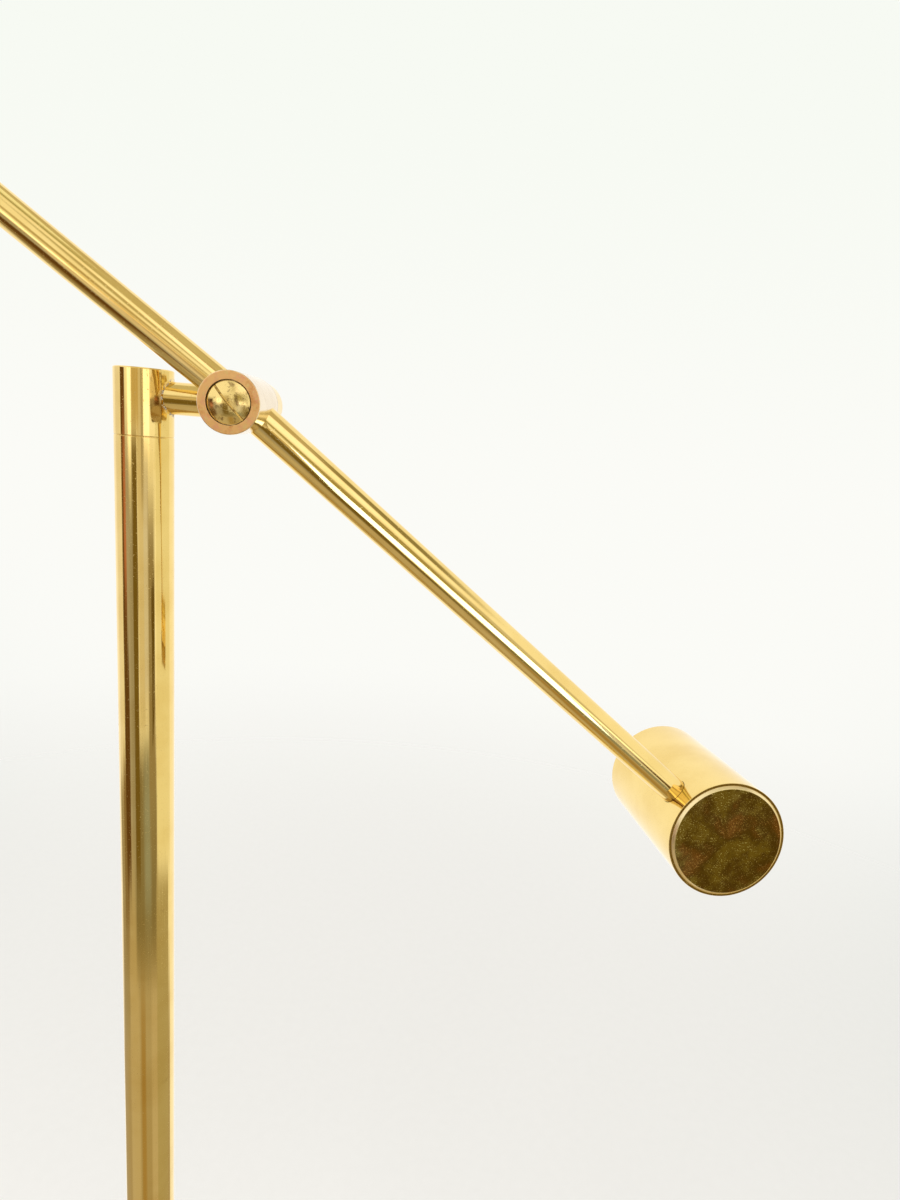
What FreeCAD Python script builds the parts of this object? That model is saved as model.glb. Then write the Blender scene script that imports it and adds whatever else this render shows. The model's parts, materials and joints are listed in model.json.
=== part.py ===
import FreeCAD, Part
import math
import os
from FreeCAD import Vector

# Counterbalance floor lamp, in millimetres.
# Z is up and the origin is the middle of the underside of the base.
# The stub points along +X and the arm moves in a plane in front of the pole, on the -Y side.

# Clearances
slip = 0.05                    # radial gap of a fixed or threaded fit
running_gap = 0.05             # radial gap of a turning fit
seat_gap = 0.05                # gap where a tube is coped to a round piece
hole_margin = 0.2              # radial gap of a plain through hole

# Base
base_diameter = 280.0
base_height = 22.0
cover_wall = 1.0
cover_shoulder_radius = 9.0
skirt_lift = 1.0
pad_thickness = 3.0
pad_inset = 6.0
weight_rim_gap = 0.5
nut_recess_radius = 24.0
nut_recess_depth = 11.0
channel_width = 13.0
channel_height = 11.0
inlet_bore_radius = 3.3
inlet_neck_radius = 4.2
inlet_flange_radius = 6.2
inlet_flange_thickness = 1.5
inlet_snap_radius = 5.2
inlet_snap_thickness = 1.2
inlet_neck_slack = 0.35
collar_diameter = 60.0
collar_height = 12.0
collar_rim = 2.0
collar_crown = 2.5
collar_cove_sag = 2.5

# Foot of the pole
nipple_radius = 5.0
nipple_bore_radius = 3.6
nipple_setback = 0.8
foot_plug_length = 30.0
foot_plug_tail = 4.0
foot_washer_radius = 16.0
foot_washer_thickness = 2.0
foot_nut_flats = 17.0
foot_nut_height = 7.0

# Pole and swivel
pole_diameter = 25.0
pole_wall = 1.5
pole_length = 1128.0
swivel_bush_length = 24.0
swivel_washer_thickness = 0.3
swivel_washer_inset = 0.2
cap_height = 28.3
cap_top_chamfer = 0.5
cap_seam_chamfer = 0.2
spindle_radius = 5.0
spindle_bore_radius = 3.5
spindle_depth = 8.0
spindle_tail = 2.0
stop_pin_radius = 1.0
stop_pin_circle = 8.0
stop_pin_azimuth = 180.0
stop_pin_reach = 3.0
stop_pin_depth = 4.5
stop_groove_depth = 4.0
stop_groove_gap = 0.3
stop_end_gap = 1.5             # degrees left at each end of the swivel's travel
swivel_half_turn = 165.0       # degrees each way
thrust_washer_radius = 9.5
thrust_washer_thickness = 1.0
swivel_spring_radius = 8.8
swivel_spring_thickness = 1.0
swivel_spring_rise = 0.6
swivel_nut_flats = 16.0
swivel_nut_height = 6.0
grub_radius = 2.0
grub_length = 6.0
grub_height = 4.0
grub_socket_flats = 2.0
grub_socket_depth = 2.0

# Stub
stub_diameter = 14.0
stub_wall = 2.0
stub_drop = 11.5               # stub axis below the top of the swivel cap
stub_in_cap = 7.0
stub_in_boss = 4.0

# Arm joint
pivot_offset = 47.5            # pivot axis from the pole's axis
arm_offset = 20.3              # plane of the arm in front of the pole's axis
barrel_diameter = 24.0
barrel_front_reach = 24.9      # ring face in front of the arm's axis
barrel_back_reach = 11.3
barrel_chamfer = 0.3
barrel_back_chamfer = 0.3
boss_diameter = 21.4
boss_back_reach = 9.0          # back face behind the pole's axis
boss_chamfer = 0.8
friction_washer_thickness = 0.4
friction_washer_inner = 8.5
friction_washer_outer = 10.3
screw_radius = 4.0
screw_head_radius = 8.15
screw_head_height = 6.0
screw_dome_height = 2.4
screw_proud = 2.0
screw_slot_width = 0.9
screw_slot_depth = 3.4
screw_slot_angle = 52.6        # degrees below the horizontal, falling to the right
counterbore_radius = 8.6
spring_washer_radius = 7.9
spring_washer_thickness = 1.0
spring_washer_rise = 0.5
wire_cavity_inner = 5.1
wire_cavity_outer = 8.3
wire_cavity_depth = 8.1
wire_hole_radius = 1.4
wire_hole_circle = 6.4
wire_passage_radius = 3.0
wire_passage_end = 5.2
rear_recess_radius = 6.5
rear_recess_depth = 5.0
lock_nut_radius = 6.2
lock_nut_thickness = 3.2
lock_nut_slot_width = 1.5
lock_nut_slot_depth = 1.2
rear_plug_thickness = 1.0
screw_end_gap = 0.4

# Arm
arm_diameter = 13.5            # of the front arm, and the rear arm tapers
rear_arm_root_diameter = 14.2  # on the pivot axis
rear_arm_tip_diameter = 12.1   # in the counterweight
arm_wall = 1.0
front_rise = 35.3              # degrees above the horizontal
rear_fall = 38.1               # degrees below the horizontal
front_arm_reach = 610.0        # arm pivot to head pivot
spigot_radius = 4.6
spigot_bore_radius = 2.6
spigot_root = 8.5              # inner end of the spigot from the pivot axis
spigot_bore_floor = 6.0        # floor of its hole from the pivot axis
spigot_in_tube = 16.0
spigot_step_gap = 0.5

# Counterweight
weight_distance = 287.5        # arm pivot to the weight's axis
weight_diameter = 55.2
weight_length = 82.2
weight_front_reach = 15.0      # end of the sleeve in front of the arm's axis
weight_turn = -6.0             # degrees about the arm
weight_wall = 1.2
weight_cap_inset = 4.0
weight_cap_proud = 1.2
weight_cap_chamfer = 1.1
arm_in_weight = 4.0
arm_plug_length = 14.0
stud_radius = 4.0
stud_in_plug = 12.0
stud_in_core = 18.0
stud_end_gap = 0.5

# Head joint
head_diameter = 19.0
head_front_reach = 12.0
head_back_reach = 7.0
head_chamfer = 0.8
head_barrel_length = 14.0
head_screw_radius = 2.5
head_screw_head_radius = 5.2
head_screw_head_height = 2.8
head_screw_dome_height = 1.6
head_screw_proud = 0.2
head_screw_slot_width = 0.8
head_screw_slot_depth = 2.2
head_screw_end_gap = 1.5
head_counterbore_radius = 5.6
head_spring_radius = 5.1
head_spring_thickness = 0.6
head_spring_rise = 0.3
head_washer_inner = 6.8
head_washer_outer = 9.2
head_cavity_inner = 3.6
head_cavity_outer = 6.4
head_cavity_depth = 5.0
head_spigot_radius = 4.0
head_spigot_bore_radius = 2.4
head_spigot_root = 6.6
head_spigot_floor = 4.2
head_wire_circle = 5.5

# Stem and socket housing
stem_radius = 5.0
stem_bore_radius = 3.4
stem_root = 6.5
stem_floor = 4.2
stem_flange_radius = 8.0
stem_flange_height = 3.0
stem_tail = 9.0
stem_nut_flats = 14.0
stem_nut_height = 4.0
housing_drop = 45.0            # top of the housing below the head pivot
housing_radius = 21.0
housing_wall = 1.0
housing_height = 62.0
housing_corner_radius = 6.0
switch_drop = 18.0             # switch axis below the top of the housing
switch_width = 16.0
switch_height = 13.0
switch_depth = 20.0
switch_corner_gap = 0.1        # between the housing's wall and the body's corners
switch_bush_radius = 4.0
switch_bush_proud = 0.8
knob_radius = 7.0
knob_length = 10.0
knob_gap = 0.4
knob_edge = 1.0
knob_flutes = 12
knob_flute_radius = 1.2
knob_flute_bite = 0.5
knob_spindle_radius = 1.5
knob_spindle_depth = 10.0

# Lampholder, bulb and shade
holder_rise = 22.0             # top of the lampholder above the bottom of the housing
holder_skirt_radius = 19.0
holder_skirt_length = 14.0     # below the housing
holder_floor = 5.0
shell_inner_radius = 13.3
shell_wall = 0.5
shell_gap_top = 4.0
shell_length = 24.0
contact_radius = 4.0
contact_thickness = 1.5
bulb_cap_radius = 13.1
bulb_cap_length = 24.0
bulb_tip_radius = 4.5
bulb_tip_height = 2.5
bulb_tip_gap = 0.3
bulb_radius = 30.0
bulb_length = 105.0
bulb_glass_wall = 0.8
bulb_neck_radius = 11.8
shade_wall = 0.8
shade_radius = 90.0
shade_neck_radius = 24.0
shade_lip = 12.0
shade_ring_radius = 23.0
shade_ring_height = 5.0

# Derived sizes and places
X = Vector(1, 0, 0)
Y = Vector(0, 1, 0)
Z = Vector(0, 0, 1)
diagonal = math.sqrt(0.5)

base_radius = base_diameter / 2
pole_radius = pole_diameter / 2
pole_inner = pole_radius - pole_wall
recess_roof = pad_thickness + nut_recess_depth
inlet_z = pad_thickness + channel_height / 2

seam_z = base_height + pole_length
cap_bottom = seam_z + swivel_washer_thickness
cap_top = cap_bottom + cap_height
axis_z = cap_top - stub_drop
bush_bottom = seam_z - swivel_bush_length
thrust_bottom = bush_bottom - thrust_washer_thickness
spring_bottom = thrust_bottom - swivel_spring_thickness - swivel_spring_rise
swivel_nut_bottom = spring_bottom - swivel_nut_height

stub_radius = stub_diameter / 2
stub_inner = stub_radius - stub_wall
stub_start = pole_radius - stub_in_cap
boss_radius = boss_diameter / 2
stub_end = pivot_offset - boss_radius + stub_in_boss

arm_y = -arm_offset
barrel_radius = barrel_diameter / 2
barrel_face_y = arm_y - barrel_front_reach
barrel_back_y = arm_y + barrel_back_reach
boss_front_y = barrel_back_y + friction_washer_thickness
boss_back_y = boss_back_reach
spring_washer_height = spring_washer_thickness + spring_washer_rise
counterbore_depth = screw_head_height + spring_washer_height - screw_proud
screw_apex_y = barrel_face_y - screw_proud
screw_end_y = boss_back_y - rear_plug_thickness - screw_end_gap

arm_radius = arm_diameter / 2
arm_inner = arm_radius - arm_wall
rear_inner = rear_arm_tip_diameter / 2 - arm_wall
pivot = Vector(pivot_offset, arm_y, axis_z)
front_way = Vector(-math.cos(math.radians(front_rise)), 0, math.sin(math.radians(front_rise)))
rear_way = Vector(math.cos(math.radians(rear_fall)), 0, -math.sin(math.radians(rear_fall)))
head_pivot = pivot + front_way * front_arm_reach

weight_radius = weight_diameter / 2
weight_bore = weight_radius - weight_wall
weight_centre = pivot + rear_way * weight_distance
weight_way = FreeCAD.Rotation(rear_way, weight_turn).multVec(Y)
weight_front = weight_centre - weight_way * weight_front_reach
rear_arm_end = weight_distance - weight_radius + arm_in_weight

head_radius = head_diameter / 2
head_face_y = arm_y - head_front_reach
head_joint_y = arm_y + head_back_reach
head_barrel_y = head_joint_y + friction_washer_thickness
head_back_y = head_barrel_y + head_barrel_length
head_spring_height = head_spring_thickness + head_spring_rise
head_counterbore_depth = head_screw_head_height + head_spring_height - head_screw_proud
head_centre = Vector(head_pivot.x, head_barrel_y + head_barrel_length / 2, head_pivot.z)

housing_top = head_pivot.z - housing_drop
housing_bottom = housing_top - housing_height
housing_inner = housing_radius - housing_wall
switch_z = housing_top - switch_drop
holder_top = housing_bottom + holder_rise
holder_bottom = housing_bottom - holder_skirt_length
shell_radius = shell_inner_radius + shell_wall
bulb_top = holder_top - holder_floor - contact_thickness - bulb_tip_gap
bulb_neck_z = bulb_top - bulb_tip_height - bulb_cap_length


def aimed(shape, start, way):
    """Moves a shape built at the origin along Z to start, pointing along way."""
    shape.Placement = FreeCAD.Placement(start, FreeCAD.Rotation(Z, way))
    return shape


def rod(radius, start, way, length):
    return Part.makeCylinder(radius, length, start, way)


def pipe(outer, inner, start, way, length):
    return rod(outer, start, way, length).cut(rod(inner, start, way, length))


def turned(path, start, way):
    """Revolves a closed path of (radius, height) points.

    A point of four values is reached by an arc, and its last two values are a point on that arc.
    """
    edges = []
    for index, point in enumerate(path):
        before = path[index - 1]
        first = Vector(before[0], 0, before[1])
        last = Vector(point[0], 0, point[1])
        if len(point) == 4:
            through = Vector(point[2], 0, point[3])
            edges.append(Part.Arc(first, through, last).toShape())
        elif first.distanceToPoint(last) > 1e-6:
            edges.append(Part.LineSegment(first, last).toShape())
    face = Part.Face(Part.Wire(edges))
    return aimed(face.revolve(Vector(0, 0, 0), Z, 360), start, way)


def hexagon(flats, height, start, way):
    corner = flats / math.sqrt(3)
    points = []
    for index in range(7):
        angle = math.radians(60 * index)
        points.append(Vector(corner * math.cos(angle), corner * math.sin(angle), 0))
    prism = Part.Face(Part.makePolygon(points)).extrude(Vector(0, 0, height))
    return aimed(prism, start, way)


def spring_disc(inner, outer, thickness, rise, start, way):
    """A dished spring washer whose rim stands forward of its hole by rise."""
    path = [(inner, 0), (outer, rise), (outer, rise + thickness), (inner, thickness)]
    return turned(path, start, way)


def domed_screw(radius, head, dome, head_height, length, apex, way):
    """A round screw with a domed head, from the top of the dome along way."""
    sphere = (head ** 2 + dome ** 2) / (2 * dome)
    middle = sphere - math.sqrt(sphere ** 2 - (head / 2) ** 2)
    path = [
        (0, 0),
        (head, dome, head / 2, middle),
        (head, head_height),
        (radius, head_height),
        (radius, length),
        (0, length),
    ]
    return turned(path, apex, way)


def slot_bar(width, depth, length, middle, angle):
    """A bar along X for a screw's slot, turned about Y through middle."""
    bar = Part.makeBox(length, depth, width, Vector(-length / 2, 0, -width / 2))
    bar.rotate(Vector(0, 0, 0), Y, angle)
    bar.translate(middle)
    return bar


def base_pad():
    return rod(base_radius - pad_inset, Vector(0, 0, 0), Z, pad_thickness)


def base_weight():
    radius = base_radius - cover_wall - weight_rim_gap
    top = base_height - cover_wall
    shoulder = cover_shoulder_radius
    path = [
        (nipple_radius + hole_margin, pad_thickness),
        (radius, pad_thickness),
        (radius, top - shoulder),
        (radius - shoulder, top),
        (nipple_radius + hole_margin, top),
    ]
    disc = turned(path, Vector(0, 0, 0), Z)
    recess = rod(nut_recess_radius, Vector(0, 0, pad_thickness), Z, nut_recess_depth)
    corner = Vector(-channel_width / 2, 0, pad_thickness)
    channel = Part.makeBox(channel_width, base_radius, channel_height, corner)
    return disc.cut(recess).cut(channel)


def base_cover():
    hole = nipple_radius + hole_margin
    rim = base_radius - cover_shoulder_radius
    shoulder = base_height - cover_shoulder_radius
    inner = cover_shoulder_radius - cover_wall
    path = [
        (hole, base_height - cover_wall),
        (hole, base_height),
        (rim, base_height),
        (base_radius, shoulder,
         rim + cover_shoulder_radius * diagonal, shoulder + cover_shoulder_radius * diagonal),
        (base_radius, skirt_lift),
        (base_radius - cover_wall, skirt_lift),
        (base_radius - cover_wall, shoulder),
        (rim, base_height - cover_wall, rim + inner * diagonal, shoulder + inner * diagonal),
    ]
    cover = turned(path, Vector(0, 0, 0), Z)
    inlet = rod(inlet_neck_radius + slip, Vector(0, rim, inlet_z), Y, cover_shoulder_radius * 2)
    return cover.cut(inlet)


def cord_inlet_bush():
    neck_start = inlet_snap_thickness
    neck_end = neck_start + cover_wall + inlet_neck_slack
    end = neck_end + inlet_flange_thickness
    path = [
        (inlet_bore_radius, 0),
        (inlet_snap_radius, 0),
        (inlet_snap_radius, neck_start),
        (inlet_neck_radius, neck_start),
        (inlet_neck_radius, neck_end),
        (inlet_flange_radius, neck_end),
        (inlet_flange_radius, end),
        (inlet_bore_radius, end),
    ]
    return turned(path, Vector(0, base_radius - neck_end, inlet_z), Y)


def base_collar():
    inner = pole_radius + slip
    outer = collar_diameter / 2
    crown = inner + collar_crown
    drop = collar_height - collar_rim
    width = outer - crown
    chord = math.hypot(width, drop)
    middle_radius = (outer + crown) / 2 - collar_cove_sag * drop / chord
    middle_height = (collar_rim + collar_height) / 2 - collar_cove_sag * width / chord
    path = [
        (inner, 0),
        (outer, 0),
        (outer, collar_rim),
        (crown, collar_height, middle_radius, middle_height),
        (inner, collar_height),
    ]
    return turned(path, Vector(0, 0, base_height), Z)


def foot_plug():
    start = Vector(0, 0, base_height)
    return pipe(pole_inner - slip, nipple_radius + slip, start, Z, foot_plug_length)


def foot_nipple():
    bottom = pad_thickness + nipple_setback
    length = base_height + foot_plug_length - foot_plug_tail - bottom
    return pipe(nipple_radius, nipple_bore_radius, Vector(0, 0, bottom), Z, length)


def foot_washer():
    start = Vector(0, 0, recess_roof - foot_washer_thickness)
    return pipe(foot_washer_radius, nipple_radius + hole_margin, start, Z, foot_washer_thickness)


def foot_nut():
    start = Vector(0, 0, recess_roof - foot_washer_thickness - foot_nut_height)
    nut = hexagon(foot_nut_flats, foot_nut_height, start, Z)
    return nut.cut(rod(nipple_radius + slip, start, Z, foot_nut_height))


def pole_tube():
    return pipe(pole_radius, pole_inner, Vector(0, 0, base_height), Z, pole_length)


def swivel_bush():
    start = Vector(0, 0, bush_bottom)
    bush = pipe(pole_inner - slip, spindle_radius + running_gap, start, Z, swivel_bush_length)
    pin_half_angle = math.degrees(math.asin(stop_pin_radius / stop_pin_circle))
    sweep = 2 * (swivel_half_turn + pin_half_angle + stop_end_gap)
    floor = Vector(0, 0, seam_z - stop_groove_depth)
    outer = stop_pin_circle + stop_pin_radius + stop_groove_gap
    inner = stop_pin_circle - stop_pin_radius - stop_groove_gap
    groove = Part.makeCylinder(outer, stop_groove_depth, floor, Z, sweep)
    groove.rotate(Vector(0, 0, 0), Z, stop_pin_azimuth - sweep / 2)
    groove = groove.cut(rod(inner, floor, Z, stop_groove_depth))
    return bush.cut(groove)


def stop_pin_foot(height):
    angle = math.radians(stop_pin_azimuth)
    return Vector(stop_pin_circle * math.cos(angle), stop_pin_circle * math.sin(angle), height)


def swivel_stop_pin():
    length = stop_pin_reach + swivel_washer_thickness + stop_pin_depth
    return rod(stop_pin_radius, stop_pin_foot(seam_z - stop_pin_reach), Z, length)


def swivel_washer():
    start = Vector(0, 0, seam_z)
    outer = pole_radius - swivel_washer_inset
    washer = pipe(outer, spindle_radius + hole_margin, start, Z, swivel_washer_thickness)
    hole = rod(stop_pin_radius + slip, stop_pin_foot(seam_z), Z, swivel_washer_thickness)
    return washer.cut(hole)


def swivel_cap():
    path = [
        (0, 0),
        (pole_radius - cap_seam_chamfer, 0),
        (pole_radius, cap_seam_chamfer),
        (pole_radius, cap_height - cap_top_chamfer),
        (pole_radius - cap_top_chamfer, cap_height),
        (0, cap_height),
    ]
    cap = turned(path, Vector(0, 0, cap_bottom), Z)
    wire_start = cap_bottom + spindle_depth
    bores = [
        rod(spindle_radius + slip, Vector(0, 0, cap_bottom), Z, spindle_depth),
        rod(spindle_bore_radius, Vector(0, 0, wire_start), Z, axis_z - wire_start),
        rod(stub_inner, Vector(0, 0, axis_z), X, stub_start),
        rod(stub_radius + slip, Vector(stub_start, 0, axis_z), X, pole_radius),
        rod(stop_pin_radius + slip, stop_pin_foot(cap_bottom), Z, stop_pin_depth),
        rod(grub_radius + slip, Vector(0, 0, cap_bottom + grub_height), Y, pole_diameter),
    ]
    for bore in bores:
        cap = cap.cut(bore)
    return cap


def swivel_spindle():
    bottom = swivel_nut_bottom - spindle_tail
    length = cap_bottom + spindle_depth - bottom
    return pipe(spindle_radius, spindle_bore_radius, Vector(0, 0, bottom), Z, length)


def swivel_grub_screw():
    start = Vector(0, spindle_radius + slip, cap_bottom + grub_height)
    screw = rod(grub_radius, start, Y, grub_length)
    socket_start = start + Y * (grub_length - grub_socket_depth)
    return screw.cut(hexagon(grub_socket_flats, grub_socket_depth, socket_start, Y))


def swivel_thrust_washer():
    start = Vector(0, 0, thrust_bottom)
    return pipe(thrust_washer_radius, spindle_radius + hole_margin, start, Z, thrust_washer_thickness)


def swivel_spring_washer():
    start = Vector(0, 0, spring_bottom)
    inner = spindle_radius + hole_margin
    return spring_disc(inner, swivel_spring_radius, swivel_spring_thickness, swivel_spring_rise, start, Z)


def swivel_nut():
    start = Vector(0, 0, swivel_nut_bottom)
    nut = hexagon(swivel_nut_flats, swivel_nut_height, start, Z)
    return nut.cut(rod(spindle_radius + slip, start, Z, swivel_nut_height))


def stub_tube():
    start = Vector(stub_start, 0, axis_z)
    return pipe(stub_radius, stub_inner, start, X, stub_end - stub_start)


def on_pivot(y):
    return Vector(pivot_offset, y, axis_z)


def knuckle_boss():
    length = boss_back_y - boss_front_y
    recess = length - rear_recess_depth
    bore = screw_radius + slip
    path = [
        (bore, 0),
        (boss_radius, 0),
        (boss_radius, length - boss_chamfer),
        (boss_radius - boss_chamfer, length),
        (rear_recess_radius, length),
        (rear_recess_radius, recess),
        (bore, recess),
    ]
    boss = turned(path, on_pivot(boss_front_y), Y)
    passage_start = Vector(stub_end, 0, axis_z)
    passage_length = pivot_offset - wire_passage_end - stub_end
    hole_start = Vector(pivot_offset - wire_hole_circle, boss_front_y, axis_z)
    bores = [
        rod(stub_radius + slip, Vector(stub_end - boss_radius, 0, axis_z), X, boss_radius),
        rod(wire_passage_radius, passage_start, X, passage_length),
        rod(wire_hole_radius, hole_start, Y, -boss_front_y),
    ]
    for item in bores:
        boss = boss.cut(item)
    return boss


def knuckle_friction_washer():
    start = on_pivot(barrel_back_y)
    return pipe(friction_washer_outer, friction_washer_inner, start, Y, friction_washer_thickness)


def knuckle_barrel():
    length = barrel_back_y - barrel_face_y
    bore = screw_radius + running_gap
    cavity = length - wire_cavity_depth
    path = [
        (bore, counterbore_depth),
        (counterbore_radius, counterbore_depth),
        (counterbore_radius, 0),
        (barrel_radius - barrel_chamfer, 0),
        (barrel_radius, barrel_chamfer),
        (barrel_radius, length - barrel_back_chamfer),
        (barrel_radius - barrel_back_chamfer, length),
        (wire_cavity_outer, length),
        (wire_cavity_outer, cavity),
        (wire_cavity_inner, cavity),
        (wire_cavity_inner, length),
        (bore, length),
    ]
    barrel = turned(path, on_pivot(barrel_face_y), Y)
    for way in (front_way, rear_way):
        barrel = barrel.cut(rod(spigot_radius + slip, pivot + way * spigot_bore_floor, way, barrel_radius))
    return barrel


def knuckle_screw():
    apex = on_pivot(screw_apex_y)
    length = screw_end_y - screw_apex_y
    screw = domed_screw(screw_radius, screw_head_radius, screw_dome_height, screw_head_height, length,
                        apex, Y)
    slot = slot_bar(screw_slot_width, screw_slot_depth, screw_head_radius * 3, apex, screw_slot_angle)
    return screw.cut(slot)


def knuckle_spring_washer():
    start = on_pivot(screw_apex_y + screw_head_height)
    inner = screw_radius + hole_margin
    return spring_disc(inner, spring_washer_radius, spring_washer_thickness, spring_washer_rise, start, Y)


def knuckle_lock_nut():
    start = on_pivot(boss_back_y - rear_recess_depth)
    nut = pipe(lock_nut_radius, screw_radius + slip, start, Y, lock_nut_thickness)
    middle = start + Y * (lock_nut_thickness - lock_nut_slot_depth)
    return nut.cut(slot_bar(lock_nut_slot_width, lock_nut_slot_depth, lock_nut_radius * 3, middle, 0))


def knuckle_rear_plug():
    start = on_pivot(boss_back_y - rear_plug_thickness)
    return rod(rear_recess_radius - slip, start, Y, rear_plug_thickness)


def cross_cylinder(radius, middle):
    """A cylinder along Y through middle, wider than an arm tube, to cope its end."""
    return rod(radius, middle - Y * arm_diameter, Y, arm_diameter * 2)


def arm_spigot(way, shank):
    """A hollow spigot screwed into the barrel, with a wider shank inside the tube."""
    step = barrel_radius + spigot_step_gap - spigot_root
    length = step + spigot_in_tube
    path = [
        (spigot_bore_radius, 0),
        (spigot_radius, 0),
        (spigot_radius, step),
        (shank, step),
        (shank, length),
        (spigot_bore_radius, length),
    ]
    return turned(path, pivot + way * spigot_root, way)


def front_arm():
    length = front_arm_reach - head_spigot_floor - spigot_bore_floor
    tube = pipe(arm_radius, arm_inner, pivot + front_way * spigot_bore_floor, front_way, length)
    tube = tube.cut(cross_cylinder(barrel_radius + seat_gap, pivot))
    return tube.cut(cross_cylinder(head_radius + seat_gap, head_pivot))


def front_arm_spigot():
    return arm_spigot(front_way, arm_inner - slip)


def rear_taper(start, gap):
    """The rear arm's solid outline from a distance along it to its end, widened by gap."""
    root = rear_arm_root_diameter / 2 + gap
    tip = rear_arm_tip_diameter / 2 + gap
    first = root + (tip - root) * start / rear_arm_end
    return Part.makeCone(first, tip, rear_arm_end - start, pivot + rear_way * start, rear_way)


def rear_arm():
    bore = rod(rear_inner, pivot, rear_way, rear_arm_end)
    tube = rear_taper(spigot_bore_floor, 0).cut(bore)
    return tube.cut(cross_cylinder(barrel_radius + seat_gap, pivot))


def rear_arm_spigot():
    return arm_spigot(rear_way, rear_inner - slip)


def rear_arm_plug():
    start = pivot + rear_way * (rear_arm_end - arm_plug_length)
    return pipe(rear_inner - slip, stud_radius + slip, start, rear_way, arm_plug_length)


def weight_stud():
    start = pivot + rear_way * (rear_arm_end - stud_in_plug)
    return rod(stud_radius, start, rear_way, stud_in_plug + stud_in_core)


def arm_socket():
    """The round space that the rear tube fills in the counterweight."""
    return rear_taper(rear_arm_end - weight_radius, seat_gap)


def weight_sleeve():
    sleeve = pipe(weight_radius, weight_bore, weight_front, weight_way, weight_length)
    return sleeve.cut(arm_socket())


def weight_core():
    start = weight_front + weight_way * weight_cap_inset
    core = rod(weight_bore - slip, start, weight_way, weight_length - 2 * weight_cap_inset)
    thread = rod(stud_radius + slip, pivot + rear_way * rear_arm_end, rear_way, stud_in_core + stud_end_gap)
    return core.cut(arm_socket()).cut(thread)


def weight_end_cap(start, way):
    """A chamfered end disc, from its outer face at start inwards along way."""
    radius = weight_bore - slip
    depth = weight_cap_proud + weight_cap_inset
    path = [
        (0, 0),
        (radius - weight_cap_chamfer, 0),
        (radius, weight_cap_proud),
        (radius, depth),
        (0, depth),
    ]
    return turned(path, start, way)


def weight_front_cap():
    return weight_end_cap(weight_front - weight_way * weight_cap_proud, weight_way)


def weight_rear_cap():
    start = weight_front + weight_way * (weight_length + weight_cap_proud)
    return weight_end_cap(start, weight_way * -1)


def on_head(y, drop=0.0):
    return Vector(head_pivot.x, y, head_pivot.z - drop)


def front_arm_end_spigot():
    way = front_way * -1
    step = head_radius + spigot_step_gap - head_spigot_root
    length = step + spigot_in_tube
    path = [
        (head_spigot_bore_radius, 0),
        (head_spigot_radius, 0),
        (head_spigot_radius, step),
        (arm_inner - slip, step),
        (arm_inner - slip, length),
        (head_spigot_bore_radius, length),
    ]
    return turned(path, head_pivot + way * head_spigot_root, way)


def head_boss():
    length = head_joint_y - head_face_y
    bore = head_screw_radius + running_gap
    cavity = length - head_cavity_depth
    path = [
        (bore, head_counterbore_depth),
        (head_counterbore_radius, head_counterbore_depth),
        (head_counterbore_radius, 0),
        (head_radius - head_chamfer, 0),
        (head_radius, head_chamfer),
        (head_radius, length),
        (head_cavity_outer, length),
        (head_cavity_outer, cavity),
        (head_cavity_inner, cavity),
        (head_cavity_inner, length),
        (bore, length),
    ]
    boss = turned(path, on_head(head_face_y), Y)
    way = front_way * -1
    return boss.cut(rod(head_spigot_radius + slip, head_pivot + way * head_spigot_floor, way, head_radius))


def head_friction_washer():
    return pipe(head_washer_outer, head_washer_inner, on_head(head_joint_y), Y, friction_washer_thickness)


def head_barrel():
    bore = head_screw_radius + slip
    path = [
        (bore, 0),
        (head_radius, 0),
        (head_radius, head_barrel_length - head_chamfer),
        (head_radius - head_chamfer, head_barrel_length),
        (bore, head_barrel_length),
    ]
    barrel = turned(path, on_head(head_barrel_y), Y)
    stem_hole = rod(stem_radius + slip, head_centre - Z * stem_floor, Z * -1, head_radius)
    wire_start = on_head(head_barrel_y, head_wire_circle)
    wire_hole = rod(wire_hole_radius, wire_start, Y, head_barrel_length / 2)
    return barrel.cut(stem_hole).cut(wire_hole)


def head_screw():
    apex = on_head(head_face_y - head_screw_proud)
    length = head_back_y - head_screw_end_gap - apex.y
    screw = domed_screw(head_screw_radius, head_screw_head_radius, head_screw_dome_height,
                        head_screw_head_height, length, apex, Y)
    slot = slot_bar(head_screw_slot_width, head_screw_slot_depth, head_screw_head_radius * 3, apex, 0)
    return screw.cut(slot)


def head_spring_washer():
    start = on_head(head_face_y - head_screw_proud + head_screw_head_height)
    inner = head_screw_radius + hole_margin
    return spring_disc(inner, head_spring_radius, head_spring_thickness, head_spring_rise, start, Y)


def head_stem():
    """The hollow stem, from inside the barrel down through the top of the housing."""
    flange_top = housing_drop - stem_flange_height - stem_root
    flange_bottom = housing_drop - stem_root
    length = flange_bottom + stem_tail
    path = [
        (stem_bore_radius, 0),
        (stem_radius, 0),
        (stem_radius, flange_top),
        (stem_flange_radius, flange_top),
        (stem_flange_radius, flange_bottom),
        (stem_radius, flange_bottom),
        (stem_radius, length),
        (stem_bore_radius, length),
    ]
    return turned(path, head_centre - Z * stem_root, Z * -1)


def under_head(z, x_offset=0.0):
    return Vector(head_centre.x + x_offset, head_centre.y, z)


def stem_nut():
    start = under_head(housing_top - housing_wall - stem_nut_height)
    nut = hexagon(stem_nut_flats, stem_nut_height, start, Z)
    return nut.cut(rod(stem_radius + slip, start, Z, stem_nut_height))


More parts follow.
